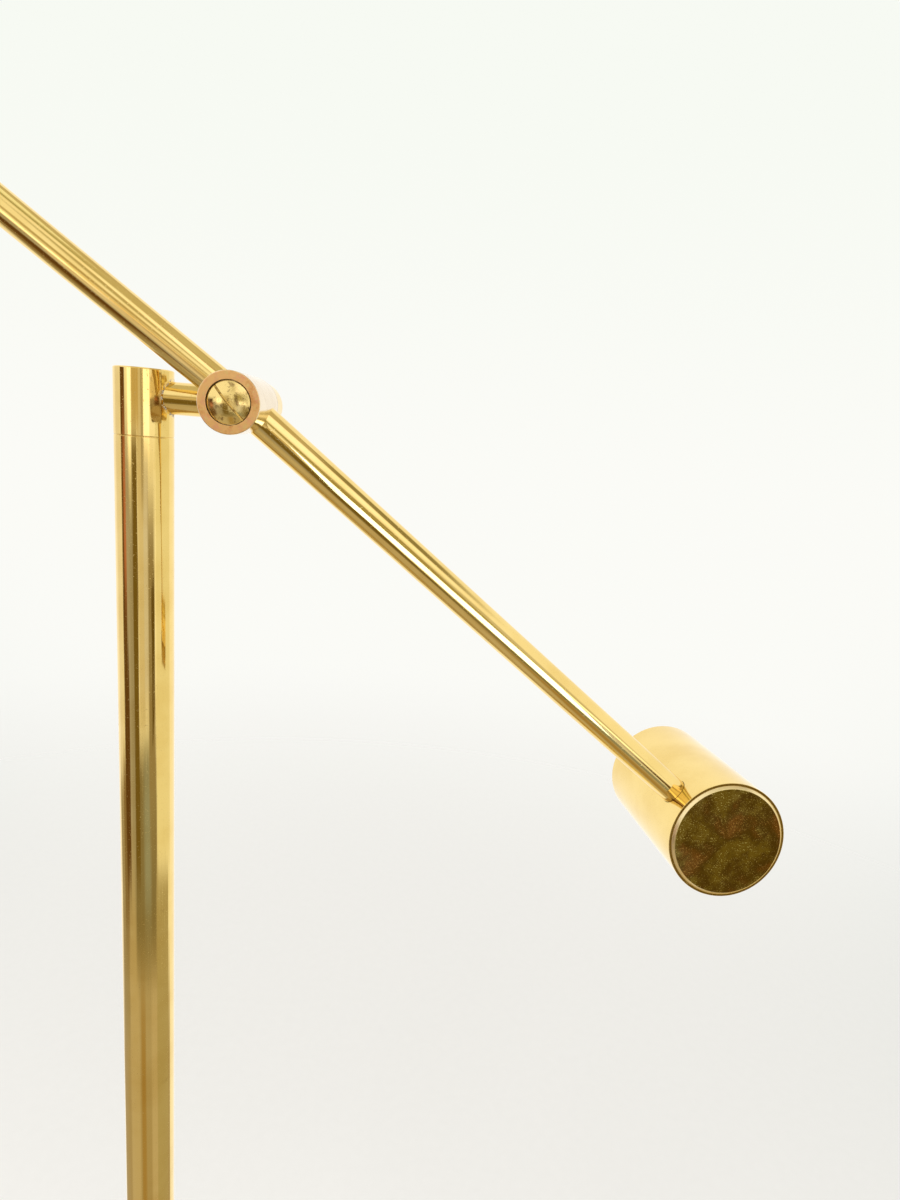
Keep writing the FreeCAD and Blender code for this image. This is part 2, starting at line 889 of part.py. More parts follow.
def socket_housing():
    hole = stem_radius + hole_margin
    corner = housing_corner_radius
    middle = housing_radius - corner
    bend = corner * (1 - diagonal)
    path = [
        (hole, 0),
        (middle, 0),
        (housing_radius, corner, housing_radius - bend, bend),
        (housing_radius, housing_height),
        (housing_inner, housing_height),
        (housing_inner, corner),
        (middle, housing_wall),
        (hole, housing_wall),
    ]
    housing = turned(path, under_head(housing_top), Z * -1)
    return housing.cut(rod(switch_bush_radius + slip, under_head(switch_z), X * -1, housing_radius * 2))


def switch_body():
    reach = housing_inner - switch_corner_gap
    front = math.sqrt(reach ** 2 - (switch_width / 2) ** 2)
    corner = under_head(switch_z - switch_height / 2, -front) - Y * (switch_width / 2)
    block = Part.makeBox(switch_depth, switch_width, switch_height, corner)
    bush_length = housing_radius + switch_bush_proud - front
    bush_start = under_head(switch_z, -front)
    block = block.fuse(rod(switch_bush_radius, bush_start, X * -1, bush_length))
    bore_start = bush_start - X * bush_length
    return block.cut(rod(knob_spindle_radius + running_gap, bore_start, X, knob_spindle_depth))


def switch_knob():
    """The fluted knob with its spindle, along -X from its inner face."""
    inner_x = -housing_radius - switch_bush_proud - knob_gap
    path = [
        (0, 0),
        (knob_radius, 0),
        (knob_radius, knob_length - knob_edge),
        (knob_radius - knob_edge, knob_length),
        (0, knob_length),
    ]
    start = under_head(switch_z, inner_x)
    knob = turned(path, start, X * -1)
    reach = knob_radius + knob_flute_radius - knob_flute_bite
    for index in range(knob_flutes):
        angle = 2 * math.pi * index / knob_flutes
        side = Vector(0, reach * math.cos(angle), reach * math.sin(angle))
        knob = knob.cut(rod(knob_flute_radius, start + side, X * -1, knob_length))
    spindle = rod(knob_spindle_radius, start, X, knob_gap + knob_spindle_depth - 2 * slip)
    return knob.fuse(spindle)


def lampholder():
    upper = housing_inner - slip
    bore = shell_radius + slip
    shoulder = housing_bottom - holder_top
    bottom = holder_bottom - holder_top
    path = [
        (0, 0),
        (upper, 0),
        (upper, shoulder),
        (holder_skirt_radius, shoulder),
        (holder_skirt_radius, bottom),
        (bore, bottom),
        (bore, -holder_floor),
        (0, -holder_floor),
    ]
    return turned(path, under_head(holder_top), Z)


def lampholder_shell():
    top = holder_top - holder_floor - shell_gap_top
    return pipe(shell_radius, shell_inner_radius, under_head(top), Z * -1, shell_length)


def lampholder_contact():
    return rod(contact_radius, under_head(holder_top - holder_floor), Z * -1, contact_thickness)


def bulb_cap():
    length = bulb_tip_height + bulb_cap_length
    path = [
        (0, 0),
        (bulb_tip_radius, 0),
        (bulb_cap_radius, bulb_tip_height),
        (bulb_cap_radius, length),
        (0, length),
    ]
    return turned(path, under_head(bulb_top), Z * -1)


def bulb_profile(sphere, neck, end):
    """Outline of the glass below the cap: neck, straight flare and round end."""
    middle = end - bulb_radius
    tangent = math.radians(35)
    joint = (sphere * math.cos(tangent), middle - sphere * math.sin(tangent))
    return [
        (neck, 0),
        joint,
        (0, middle + sphere, sphere * math.cos(tangent / 2), middle + sphere * math.sin(tangent / 2)),
    ]


def bulb_glass():
    end = bulb_length - bulb_tip_height - bulb_cap_length
    outer = bulb_profile(bulb_radius, bulb_neck_radius, end)
    inner = bulb_profile(bulb_radius - bulb_glass_wall, bulb_neck_radius - bulb_glass_wall, end)
    path = [
        outer[0],
        outer[1],
        outer[2],
        (0, inner[2][1]),
        (inner[1][0], inner[1][1], inner[2][2], inner[2][3]),
        inner[0],
    ]
    return turned(path, under_head(bulb_neck_z), Z * -1)


def shade():
    """A half-round dome with a flat seat at its neck and a short upright lip at its mouth."""
    outer = shade_radius
    inner = outer - shade_wall
    height = math.sqrt(outer ** 2 - shade_neck_radius ** 2)
    inner_neck = math.sqrt(inner ** 2 - (height - shade_wall) ** 2)
    hole = holder_skirt_radius + slip
    half = math.asin(height / outer) / 2
    bottom = height + shade_lip
    path = [
        (hole, 0),
        (shade_neck_radius, 0),
        (outer, height, outer * math.cos(half), height - outer * math.sin(half)),
        (outer, bottom),
        (inner, bottom),
        (inner, height),
        (inner_neck, shade_wall, inner * math.cos(half), height - inner * math.sin(half)),
        (hole, shade_wall),
    ]
    return turned(path, under_head(housing_bottom), Z * -1)


def shade_ring():
    start = under_head(housing_bottom - shade_wall)
    return pipe(shade_ring_radius, holder_skirt_radius + slip, start, Z * -1, shade_ring_height)


pieces = [
    base_pad, base_weight, base_cover, cord_inlet_bush, base_collar,
    foot_plug, foot_nipple, foot_washer, foot_nut,
    pole_tube, swivel_bush,
    swivel_washer, swivel_cap, swivel_spindle, swivel_stop_pin, swivel_thrust_washer,
    swivel_spring_washer, swivel_nut, swivel_grub_screw, stub_tube,
    knuckle_boss, knuckle_friction_washer, knuckle_barrel, knuckle_screw,
    knuckle_spring_washer, knuckle_lock_nut, knuckle_rear_plug,
    front_arm, front_arm_spigot, front_arm_end_spigot, rear_arm, rear_arm_spigot, rear_arm_plug,
    weight_stud, weight_sleeve, weight_core, weight_front_cap, weight_rear_cap,
    head_boss, head_friction_washer, head_barrel, head_screw, head_spring_washer, head_stem,
    stem_nut, socket_housing, switch_body, switch_knob,
    lampholder, lampholder_shell, lampholder_contact, bulb_cap, bulb_glass, shade, shade_ring,
]

os.makedirs("parts", exist_ok=True)
for piece in pieces:
    piece().exportStep("parts/" + piece.__name__ + ".step")
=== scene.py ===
import json
import math

import bpy
from mathutils import Matrix, Vector


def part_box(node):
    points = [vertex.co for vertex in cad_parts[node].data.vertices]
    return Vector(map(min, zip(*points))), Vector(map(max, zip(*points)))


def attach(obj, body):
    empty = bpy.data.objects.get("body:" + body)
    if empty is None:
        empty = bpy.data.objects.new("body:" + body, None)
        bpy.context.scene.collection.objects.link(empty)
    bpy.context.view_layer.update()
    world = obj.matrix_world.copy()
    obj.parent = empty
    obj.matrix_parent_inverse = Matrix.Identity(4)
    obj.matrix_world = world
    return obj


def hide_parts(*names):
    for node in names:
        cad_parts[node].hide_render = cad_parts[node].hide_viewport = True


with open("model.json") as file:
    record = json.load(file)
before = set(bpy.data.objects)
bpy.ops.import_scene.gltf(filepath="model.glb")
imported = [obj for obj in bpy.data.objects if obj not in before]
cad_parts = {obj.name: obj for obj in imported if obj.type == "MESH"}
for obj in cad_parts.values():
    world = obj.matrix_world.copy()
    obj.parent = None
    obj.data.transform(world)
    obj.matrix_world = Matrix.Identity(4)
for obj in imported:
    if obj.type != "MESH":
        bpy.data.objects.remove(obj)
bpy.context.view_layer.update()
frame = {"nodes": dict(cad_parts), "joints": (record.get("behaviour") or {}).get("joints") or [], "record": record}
nodes = frame["nodes"]
joints = {joint["name"]: joint for joint in frame["joints"]}

# Faces round a turned piece, and the angle in degrees past which a cut edge stays sharp
round_steps = 128
small_steps = 64
disc_steps = 192
wide_steps = 224
cut_sharp = 35

# Sizes in metres
mm = 0.001
weld_reach = 0.002 * mm
fine_mark = 0.02 * mm
deep_mark = 0.03 * mm

base_radius = 140.0 * mm
base_shoulder = 9.0 * mm
sheet_wall = 1.0 * mm
skirt_lift = 1.0 * mm
inlet_radius = 4.2 * mm
inlet_bore = 3.3 * mm
inlet_snap = 5.2 * mm
inlet_snap_depth = 1.2 * mm
inlet_neck_depth = 1.35 * mm
inlet_flange = 6.2 * mm
cover_hole = 5.2 * mm
collar_rim = 2.0 * mm
collar_crown = 2.5 * mm
collar_sag = 2.5 * mm

pole_radius = 12.5 * mm
pole_bore = 11.0 * mm
cap_chamfer = 0.5 * mm
seam_chamfer = 0.2 * mm
washer_radius = 12.3 * mm
spindle_bore = 5.2 * mm
grub_radius = 2.0 * mm
grub_flats = 2.0 * mm
stub_radius = 7.0 * mm
fit_gap = 0.05 * mm

barrel_radius = 12.0 * mm
barrel_chamfer = 0.3 * mm
counterbore_radius = 8.6 * mm
counterbore_depth = 5.5 * mm
boss_radius = 10.7 * mm
boss_chamfer = 0.8 * mm
plug_radius = 6.45 * mm
plug_seat = 1.2 * mm
friction_radius = 10.3 * mm
friction_bore = 8.5 * mm
screw_head = 8.15 * mm
screw_dome = 2.4 * mm
screw_head_height = 6.0 * mm
screw_radius = 4.0 * mm
slot_width = 0.9 * mm
slot_depth = 3.4 * mm
slot_fall = math.radians(48.0)

arm_radius = 6.75 * mm
arm_bore = 5.75 * mm
rear_root = 7.1 * mm
rear_tip = 6.05 * mm
rear_bore = 5.05 * mm
rear_end = 263.9 * mm
arm_root = 9.0 * mm
arm_in_head = 6.0 * mm
rear_fall = math.radians(38.1)

weight_distance = 287.5 * mm
weight_radius = 27.6 * mm
weight_wall = 1.2 * mm
weight_length = 82.2 * mm
weight_front = 15.0 * mm
weight_turn = math.radians(-6.0)
disc_proud = 1.2 * mm
disc_chamfer = 1.1 * mm
disc_depth = 5.2 * mm
socket_gap = 0.2 * mm
socket_reach = weight_radius * 1.3

head_radius = 9.5 * mm
head_chamfer = 0.8 * mm
head_bore = 2.55 * mm
head_counterbore = 5.6 * mm
head_counterbore_depth = 3.5 * mm
head_screw_radius = 2.5 * mm
head_screw_head = 5.2 * mm
head_screw_dome = 1.6 * mm
head_screw_height = 2.8 * mm
head_slot_width = 0.8 * mm
head_slot_depth = 2.2 * mm
head_washer_radius = 9.2 * mm
head_washer_bore = 6.8 * mm
stem_radius = 5.0 * mm
stem_bore = 3.4 * mm
stem_flange = 8.0 * mm
stem_flange_height = 3.0 * mm
stem_tail = 9.0 * mm

housing_radius = 21.0 * mm
housing_corner = 6.0 * mm
housing_hole = 5.2 * mm
switch_hole = 4.05 * mm
knob_radius = 7.0 * mm
knob_dish = 0.5 * mm
knob_rim = 1.3 * mm
knob_stand = 1.2 * mm
flute_count = 12
flute_radius = 1.2 * mm
flute_bite = 0.5 * mm
flute_overrun = 1.0 * mm
skirt_radius = 19.0 * mm
skirt_bore = 13.85 * mm
holder_upper = 19.95 * mm
holder_floor = 5.0 * mm
thread_turns = 4
thread_pitch = 1.6 * mm
thread_flank = thread_pitch * 0.3
thread_depth = 0.35 * mm
shade_wall = 0.8 * mm
shade_radius = 90.0 * mm
shade_neck = 24.0 * mm
shade_lip = 12.0 * mm
ring_radius = 23.0 * mm
ring_notches = 20
notch_out = flute_radius * 0.6
bulb_radius = 30.0 * mm
bulb_neck = 11.8 * mm
bulb_tangent = 35.0

origin = Vector((0, 0, 0))
X = Vector((1, 0, 0))
Y = Vector((0, 1, 0))
Z = Vector((0, 0, 1))
down = Z * -1

arm_pivot = Vector(joints["arm_tilt"]["pos_m"])
head_pivot = Vector(joints["shade_tilt"]["pos_m"])
front_way = (head_pivot - arm_pivot).normalized()
rear_way = Vector((math.cos(rear_fall), 0, -math.sin(rear_fall)))
front_reach = (head_pivot - arm_pivot).length
weight_way = Matrix.Rotation(weight_turn, 3, rear_way) @ Y
weight_middle = arm_pivot + rear_way * weight_distance


def low(node):
    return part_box(node)[0]


def high(node):
    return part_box(node)[1]


def middle(node):
    return (low(node) + high(node)) / 2


def tall(node):
    return high(node).z - low(node).z


def deep(node):
    return high(node).y - low(node).y


def on_pole(height):
    return Vector((0, 0, height))


def on_pivot(node):
    """The front middle of a node that lies on the arm's pivot."""
    return Vector((arm_pivot.x, low(node).y, arm_pivot.z))


def on_head(node):
    """The front middle of a node that lies on the shade's pivot."""
    return Vector((head_pivot.x, low(node).y, head_pivot.z))


def under_head(height):
    """A place on the axis of the socket and the shade."""
    return Vector((middle("socket_housing").x, middle("head_barrel").y, height))


# Modelling

def only(piece):
    """Selects one piece and makes it active."""
    bpy.ops.object.select_all(action="DESELECT")
    piece.select_set(True)
    bpy.context.view_layer.objects.active = piece


def start_piece(name, primitive, **values):
    """Adds a primitive with nothing else selected, and names it."""
    bpy.ops.object.select_all(action="DESELECT")
    primitive(**values)
    piece = bpy.context.object
    piece.name = name
    return piece


def finish_edges(piece, width, sharp):
    """Rounds the corners a little and shades the piece smooth."""
    only(piece)
    if width > 0:
        bevel = piece.modifiers.new("edges", "BEVEL")
        bevel.width = width
        bevel.segments = 3
        bevel.limit_method = "ANGLE"
        bevel.angle_limit = math.radians(30)
        bevel.use_clamp_overlap = True
        bpy.ops.object.modifier_apply(modifier=bevel.name)
    bpy.ops.object.shade_smooth_by_angle(angle=math.radians(sharp))
    weighted = piece.modifiers.new("normals", "WEIGHTED_NORMAL")
    weighted.keep_sharp = True
    weighted.weight = 100
    bpy.ops.object.modifier_apply(modifier=weighted.name)


def place(piece, start, way):
    """Puts a piece built along +Z at start, pointing along way, with its place in its mesh."""
    only(piece)
    piece.rotation_mode = "QUATERNION"
    piece.rotation_quaternion = Z.rotation_difference(way)
    piece.location = start
    bpy.ops.object.transform_apply(location=True, rotation=True, scale=True)


def turned(name, profile, start, way, steps=round_steps, edge=0.15 * mm, sharp=40):
    """Turns a closed profile of (radius, height) points on a lathe."""
    piece = start_piece(name, bpy.ops.mesh.primitive_plane_add, size=mm, location=origin)
    bpy.ops.object.mode_set(mode="EDIT")
    bpy.ops.mesh.select_all(action="SELECT")
    bpy.ops.mesh.merge(type="CENTER")
    bpy.ops.transform.translate(value=(profile[0][0], 0, profile[0][1]))
    path = profile + [profile[0]]
    for before, after in zip(path, path[1:]):
        if before[0] == 0 and after[0] == 0:
            break
        step = (after[0] - before[0], 0, after[1] - before[1])
        bpy.ops.mesh.extrude_vertices_move(TRANSFORM_OT_translate={"value": step})
    bpy.ops.mesh.select_all(action="SELECT")
    bpy.ops.mesh.spin(steps=steps, angle=2 * math.pi, center=(0, 0, 0), axis=(0, 0, 1))
    bpy.ops.mesh.select_all(action="SELECT")
    bpy.ops.mesh.remove_doubles(threshold=weld_reach)
    bpy.ops.mesh.normals_make_consistent(inside=False)
    bpy.ops.object.mode_set(mode="OBJECT")
    place(piece, start, way)
    finish_edges(piece, edge, sharp)
    return piece


def pipe(name, outer, inner, start, way, length, steps=round_steps, edge=0.15 * mm):
    path = [(inner, 0), (outer, 0), (outer, length), (inner, length)]
    return turned(name, path, start, way, steps, edge)


def rod(name, radius, start, way, length, steps=round_steps, edge=0.15 * mm):
    path = [(0, 0), (radius, 0), (radius, length), (0, length)]
    return turned(name, path, start, way, steps, edge)


def arc(centre, height, radius, first, last, count):
    """Profile points on an arc, from one angle to another in degrees, 0 pointing outwards."""
    points = []
    for index in range(count + 1):
        angle = math.radians(first + (last - first) * index / count)
        points.append((centre + radius * math.cos(angle), height + radius * math.sin(angle)))
    return points


def block(name, size, fall, centre):
    """A bar for a screw's slot, turned about Y."""
    piece = start_piece(name, bpy.ops.mesh.primitive_cube_add, size=1, location=centre)
    piece.scale = size
    piece.rotation_euler = (0, fall, 0)
    bpy.ops.object.transform_apply(location=True, rotation=True, scale=True)
    return piece


def carve(piece, cutter):
    """Takes one piece's volume out of another, and removes it."""
    only(piece)
    cut = piece.modifiers.new("cut", "BOOLEAN")
    cut.operation = "DIFFERENCE"
    cut.solver = "EXACT"
    cut.object = cutter
    bpy.ops.object.modifier_apply(modifier=cut.name)
    bpy.data.objects.remove(cutter)


def bore(piece, radius, start, way, length, steps=small_steps):
    """Cuts a round hole and shades the piece again."""
    carve(piece, rod("bore_cutter", radius, start, way, length, steps, edge=0))
    finish_edges(piece, 0, cut_sharp)


def flutes(piece, count, radius, reach, start, way, length):
    """Cuts round grooves along way, evenly spaced around it."""
    side = way.orthogonal().normalized()
    cutters = []
    for index in range(count):
        spoke = Matrix.Rotation(2 * math.pi * index / count, 3, way) @ side
        cutters.append(rod("flute_cutter", radius, start + spoke * reach, way, length, steps=20, edge=0))
    only(cutters[0])
    for cutter in cutters:
        cutter.select_set(True)
    bpy.ops.object.join()
    carve(piece, cutters[0])


def slotted_screw(name, radius, head, dome_height, head_height, length, tip, slot_size, fall):
    """A round screw along +Y with a domed head, and a slot of a width and a depth."""
    sphere = (head ** 2 + dome_height ** 2) / (2 * dome_height)
    half = math.degrees(math.asin(head / sphere))
    dome = arc(0, sphere, sphere, -90, -90 + half, 16)
    path = [(0, 0)] + dome[1:-1] + [
        (head, dome_height), (head, head_height), (radius, head_height), (radius, length), (0, length)]
    screw = turned(name, path, tip, Y, edge=0)
    width, depth = slot_size
    carve(screw, block("slot_cutter", (head * 3, depth * 2, width), fall, tip))
    finish_edges(screw, 0.1 * mm, cut_sharp)
    return screw


# Shader groups

def group(name, numbers, results, has_place=True):
    """A shader group that takes a place and some numbers, with their starting values, and gives numbers."""
    tree = bpy.data.node_groups.new(name, "ShaderNodeTree")
    if has_place:
        tree.interface.new_socket("Vector", in_out="INPUT", socket_type="NodeSocketVector")
    for label, value in numbers.items():
        socket = tree.interface.new_socket(label, in_out="INPUT", socket_type="NodeSocketFloat")
        socket.default_value = value
    for label in results:
        tree.interface.new_socket(label, in_out="OUTPUT", socket_type="NodeSocketFloat")
    return tree, tree.nodes.new("NodeGroupInput").outputs, tree.nodes.new("NodeGroupOutput").inputs


def feed(tree, socket, value):
    """Sets a socket's number or colour, or links it."""
    if isinstance(value, (int, float, tuple, Vector)):
        socket.default_value = value
    else:
        tree.links.new(value, socket)


def math_node(tree, operation, first, second=0.0, clamp=False):
    node = tree.nodes.new("ShaderNodeMath")
    node.operation = operation
    node.use_clamp = clamp
    feed(tree, node.inputs[0], first)
    feed(tree, node.inputs[1], second)
    return node.outputs[0]


def along_node(tree, vector, way):
    """How far a place lies along way."""
    node = tree.nodes.new("ShaderNodeVectorMath")
    node.operation = "DOT_PRODUCT"
    feed(tree, node.inputs[0], vector)
    feed(tree, node.inputs[1], way)
    return node.outputs["Value"]


def noise_node(tree, vector, scale, detail=3.0, roughness=0.55):
    node = tree.nodes.new("ShaderNodeTexNoise")
    feed(tree, node.inputs["Vector"], vector)
    feed(tree, node.inputs["Scale"], scale)
    node.inputs["Detail"].default_value = detail
    node.inputs["Roughness"].default_value = roughness
    return node.outputs["Fac"]


def ramp_node(tree, value, low_edge, high_edge, low_value=0.0, high_value=1.0):
    node = tree.nodes.new("ShaderNodeMapRange")
    node.interpolation_type = "SMOOTHSTEP"
    feed(tree, node.inputs["Value"], value)
    feed(tree, node.inputs["From Min"], low_edge)
    feed(tree, node.inputs["From Max"], high_edge)
    feed(tree, node.inputs["To Min"], low_value)
    feed(tree, node.inputs["To Max"], high_value)
    return node.outputs["Result"]


def mix_node(tree, factor, first, second):
    node = tree.nodes.new("ShaderNodeMix")
    node.data_type = "RGBA"
    feed(tree, node.inputs["Factor"], factor)
    feed(tree, node.inputs[6], first)
    feed(tree, node.inputs[7], second)
    return node.outputs[2]


def spots(tree, vector, scale, detail, low_edge, high_edge):
    """Noise cut to patches with soft edges, as a mask."""
    return ramp_node(tree, noise_node(tree, vector, scale, detail), low_edge, high_edge)


def share(tree, mask, amount):
    return math_node(tree, "MULTIPLY", mask, amount)


def plus(tree, first, second, clamp=False):
    return math_node(tree, "ADD", first, second, clamp)


def rest_of(tree, mask):
    return math_node(tree, "SUBTRACT", 1.0, mask)


def tint(tree, mask, amount, colour, other):
    """Mixes some of another colour in where a mask is bright."""
    return mix_node(tree, share(tree, mask, amount), colour, other)


def axes_node(tree, vector):
    node = tree.nodes.new("ShaderNodeSeparateXYZ")
    tree.links.new(vector, node.inputs[0])
    return node.outputs


def reach_node(tree, first, second):
    """Length of a pair of coordinates."""
    squares = [share(tree, side, side) for side in (first, second)]
    return math_node(tree, "SQRT", plus(tree, squares[0], squares[1]))


def build_polish_marks():
    """Fine marks of drawing, turning and polishing about Z, as a height, a roughness and a tone.

    Around, Along and Ring say how quickly the marks change around the axis, along it and outwards from it.
    """
    tree, values, results = group(
        "polish_marks",
        {"Fineness": 900.0, "Around": 1.0, "Along": 0.01, "Ring": 0.0, "Roughness": 0.05, "Scatter": 0.05},
        ("Height", "Roughness", "Tone"))
    axes = axes_node(tree, values["Vector"])
    outward = share(tree, reach_node(tree, axes["X"], axes["Y"]), values["Ring"])
    spread = tree.nodes.new("ShaderNodeCombineXYZ")
    across = plus(tree, share(tree, axes["X"], values["Around"]), outward)
    tree.links.new(across, spread.inputs["X"])
    tree.links.new(share(tree, axes["Y"], values["Around"]), spread.inputs["Y"])
    tree.links.new(share(tree, axes["Z"], values["Along"]), spread.inputs["Z"])
    broad = noise_node(tree, spread.outputs[0], values["Fineness"], 2.0)
    fine = noise_node(tree, spread.outputs[0], share(tree, values["Fineness"], 4.0), 2.0)
    height = plus(tree, broad, share(tree, fine, 0.3))
    cloud = noise_node(tree, values["Vector"], 45.0, 3.0)
    specks = spots(tree, values["Vector"], 1400.0, 1.0, 0.67, 0.74)
    scratches = share(tree, ramp_node(tree, fine, 0.56, 0.7), 0.14)
    scattered = share(tree, ramp_node(tree, cloud, 0.4, 0.75), values["Scatter"])
    rough = plus(tree, values["Roughness"], plus(tree, scattered, scratches))
    rough = plus(tree, rough, share(tree, specks, 0.25), clamp=True)
    tree.links.new(height, results["Height"])
    tree.links.new(rough, results["Roughness"])
    tree.links.new(ramp_node(tree, cloud, 0.35, 0.7), results["Tone"])
    return tree


def build_tarnish():
    """Blotches where the lacquer has worn and the brass has gone brown, as a mask."""
    tree, values, results = group("tarnish", {"Scale": 120.0, "Cover": 0.5}, ("Mask", "Speck"))
    broad = noise_node(tree, values["Vector"], values["Scale"], 5.0, 0.62)
    edge = math_node(tree, "SUBTRACT", 0.72, share(tree, values["Cover"], 0.4))
    mask = ramp_node(tree, broad, edge, plus(tree, edge, 0.16))
    specks = spots(tree, values["Vector"], share(tree, values["Scale"], 9.0), 2.0, 0.68, 0.76)
    tree.links.new(mask, results["Mask"])
    tree.links.new(specks, results["Speck"])
    return tree


def build_room_part():
    """A part of the surroundings between two azimuths and two elevations, as a mask.

    Side and Level say how soft its upright and its level edges are.
    """
    labels = ("Azimuth", "Elevation", "First", "Last", "Bottom", "Top", "Side", "Level")
    tree, values, results = group("room_part", dict.fromkeys(labels, 0.0), ("Mask",), has_place=False)
    mask = 1.0
    for value, edge, blur, rising in (
            ("Azimuth", "First", "Side", True), ("Azimuth", "Last", "Side", False),
            ("Elevation", "Bottom", "Level", True), ("Elevation", "Top", "Level", False)):
        before = math_node(tree, "SUBTRACT", values[edge], values[blur])
        after = plus(tree, values[edge], values[blur])
        inside = ramp_node(tree, values[value], before, after, float(not rising), float(rising))
        mask = share(tree, inside, mask)
    tree.links.new(mask, results["Mask"])
    return tree


polish_marks = build_polish_marks()
tarnish = build_tarnish()
room_part = build_room_part()


def use_group(tree, shared, vector, **values):
    """Places a shared group, feeds it and gives its outputs."""
    node = tree.nodes.new("ShaderNodeGroup")
    node.node_tree = shared
    tree.links.new(vector, node.inputs[0])
    for label, value in values.items():
        feed(tree, node.inputs[label], value)
    return node.outputs


# Materials

def blank(name, start=origin, way=Z):
    """A new material with its nodes, its shader, and a place measured from start, with way as its +Z."""
    material = bpy.data.materials.new(name)
    material.use_nodes = True
    tree = material.node_tree
    mapping = tree.nodes.new("ShaderNodeMapping")
    turn = way.rotation_difference(Z)
    mapping.inputs["Rotation"].default_value = turn.to_euler()
    mapping.inputs["Location"].default_value = -(turn @ start)
    tree.links.new(tree.nodes.new("ShaderNodeTexCoord").outputs["Object"], mapping.inputs["Vector"])
    return material, tree, tree.nodes["Principled BSDF"], mapping.outputs["Vector"]


def bump(tree, height, distance, strength, target):
    node = tree.nodes.new("ShaderNodeBump")
    node.inputs["Distance"].default_value = distance
    node.inputs["Strength"].default_value = strength
    tree.links.new(height, node.inputs["Height"])
    tree.links.new(node.outputs["Normal"], target.inputs["Normal"])


def metal(tree, shader, colour, rough, marks, depth, strength):
    """Makes a shader bare metal, with the height of its marks as relief."""
    feed(tree, shader.inputs["Base Color"], colour)
    feed(tree, shader.inputs["Roughness"], rough)
    shader.inputs["Metallic"].default_value = 1
    bump(tree, marks["Height"], depth, strength, shader)


bright_brass = (0.88, 0.67, 0.25, 1)
deep_brass = (0.82, 0.60, 0.20, 1)
brown_stain = (0.20, 0.105, 0.03, 1)
# Colour of the painted shade along the upper side of a screw's slot
painted_slot_shade = (0.34, 0.19, 0.06, 1)
ring_copper = (0.97, 0.60, 0.25, 1)
ring_brown = (0.80, 0.41, 0.15, 1)
ring_pink = (0.92, 0.47, 0.27, 1)
ring_gold = (0.90, 0.66, 0.26, 1)
barrel_bright = (0.82, 0.69, 0.46, 1)
barrel_deep = (0.74, 0.60, 0.38, 1)
# Colour of the painted shade at the barrel's rear seam, by the gap to the boss
painted_seam_shade = (0.30, 0.22, 0.15, 1)
disc_gold = (0.80, 0.68, 0.22, 1)
disc_brown = (0.42, 0.29, 0.08, 1)
disc_red = (0.86, 0.44, 0.13, 1)
disc_rim = (0.92, 0.76, 0.42, 1)
residue_dark = (0.30, 0.22, 0.14, 1)
residue_pale = (0.78, 0.72, 0.64, 1)
opal_warm = (0.84, 0.83, 0.78, 1)
opal_white = (0.91, 0.90, 0.86, 1)

drawn = {"Around": 1.0, "Along": 0.006, "Ring": 0.0, "Fineness": 900.0}
lathed = {"Around": 0.02, "Along": 1.0, "Ring": 1.0, "Fineness": 1600.0}


def polished_brass(name, start, way, work=drawn, rough=0.045, cover=0.12, marks=0.35):
    """Lacquered brass with the marks of its making, along way or around it."""
    material, tree, shader, vector = blank(name, start, way)
    polish = use_group(tree, polish_marks, vector, Roughness=rough, Scatter=0.05, **work)
    stain = use_group(tree, tarnish, vector, Scale=60.0, Cover=cover)
    colour = mix_node(tree, polish["Tone"], bright_brass, deep_brass)
    colour = tint(tree, stain["Mask"], 0.35, colour, brown_stain)
    metal(tree, shader, colour, polish["Roughness"], polish, fine_mark, marks)
    return material


def stained_brass(name, start, way, cover, scale, rough, slot=None):
    """Brass gone brown in blotches, with fine pits, and painted shade along the upper side of a screw's slot."""
    material, tree, shader, vector = blank(name, start, way)
    blotch = use_group(tree, tarnish, vector, Scale=scale, Cover=cover)
    polish = use_group(tree, polish_marks, vector, Roughness=rough, Scatter=0.1, **lathed)
    colour = tint(tree, blotch["Mask"], 0.75, bright_brass, brown_stain)
    colour = tint(tree, blotch["Speck"], 0.6, colour, bright_brass)
    # Painted shade: a dark band along the upper side of the screw's slot
    if slot:
        fall, slot_wide = slot
        across = way.rotation_difference(Z) @ Vector((math.sin(fall), 0, math.cos(fall)))
        reach = along_node(tree, vector, across)
        reach = math_node(tree, "ABSOLUTE", math_node(tree, "SUBTRACT", reach, slot_wide / 4))
        inside = rest_of(tree, ramp_node(tree, reach, slot_wide / 4, slot_wide / 4 + 0.08 * mm))
        colour = mix_node(tree, inside, colour, painted_slot_shade)
    metal(tree, shader, colour, polish["Roughness"], polish, deep_mark, 0.4)
    return material


def plain_finish(name, colour, metallic, rough, grain, depth, sheen=0.0, amount=0.15):
    """A mottled finish for iron, steel, plastic, fibre and felt."""
    material, tree, shader, vector = blank(name)
    cloud = noise_node(tree, vector, grain * 0.12, 4.0)
    fine = noise_node(tree, vector, grain, 3.0)
    darker = tuple(channel * (1 - 2 * amount) for channel in colour[:3]) + (1,)
    lighter = tuple(min(1.0, channel * (1 + amount)) for channel in colour[:3]) + (1,)
    feed(tree, shader.inputs["Base Color"], mix_node(tree, cloud, darker, lighter))
    roughest = min(1.0, rough * 1.25)
    feed(tree, shader.inputs["Roughness"], ramp_node(tree, fine, 0.3, 0.7, rough * 0.8, roughest))
    shader.inputs["Metallic"].default_value = metallic
    shader.inputs["Sheen Weight"].default_value = sheen
    bump(tree, fine, depth, 0.6, shader)
    return material


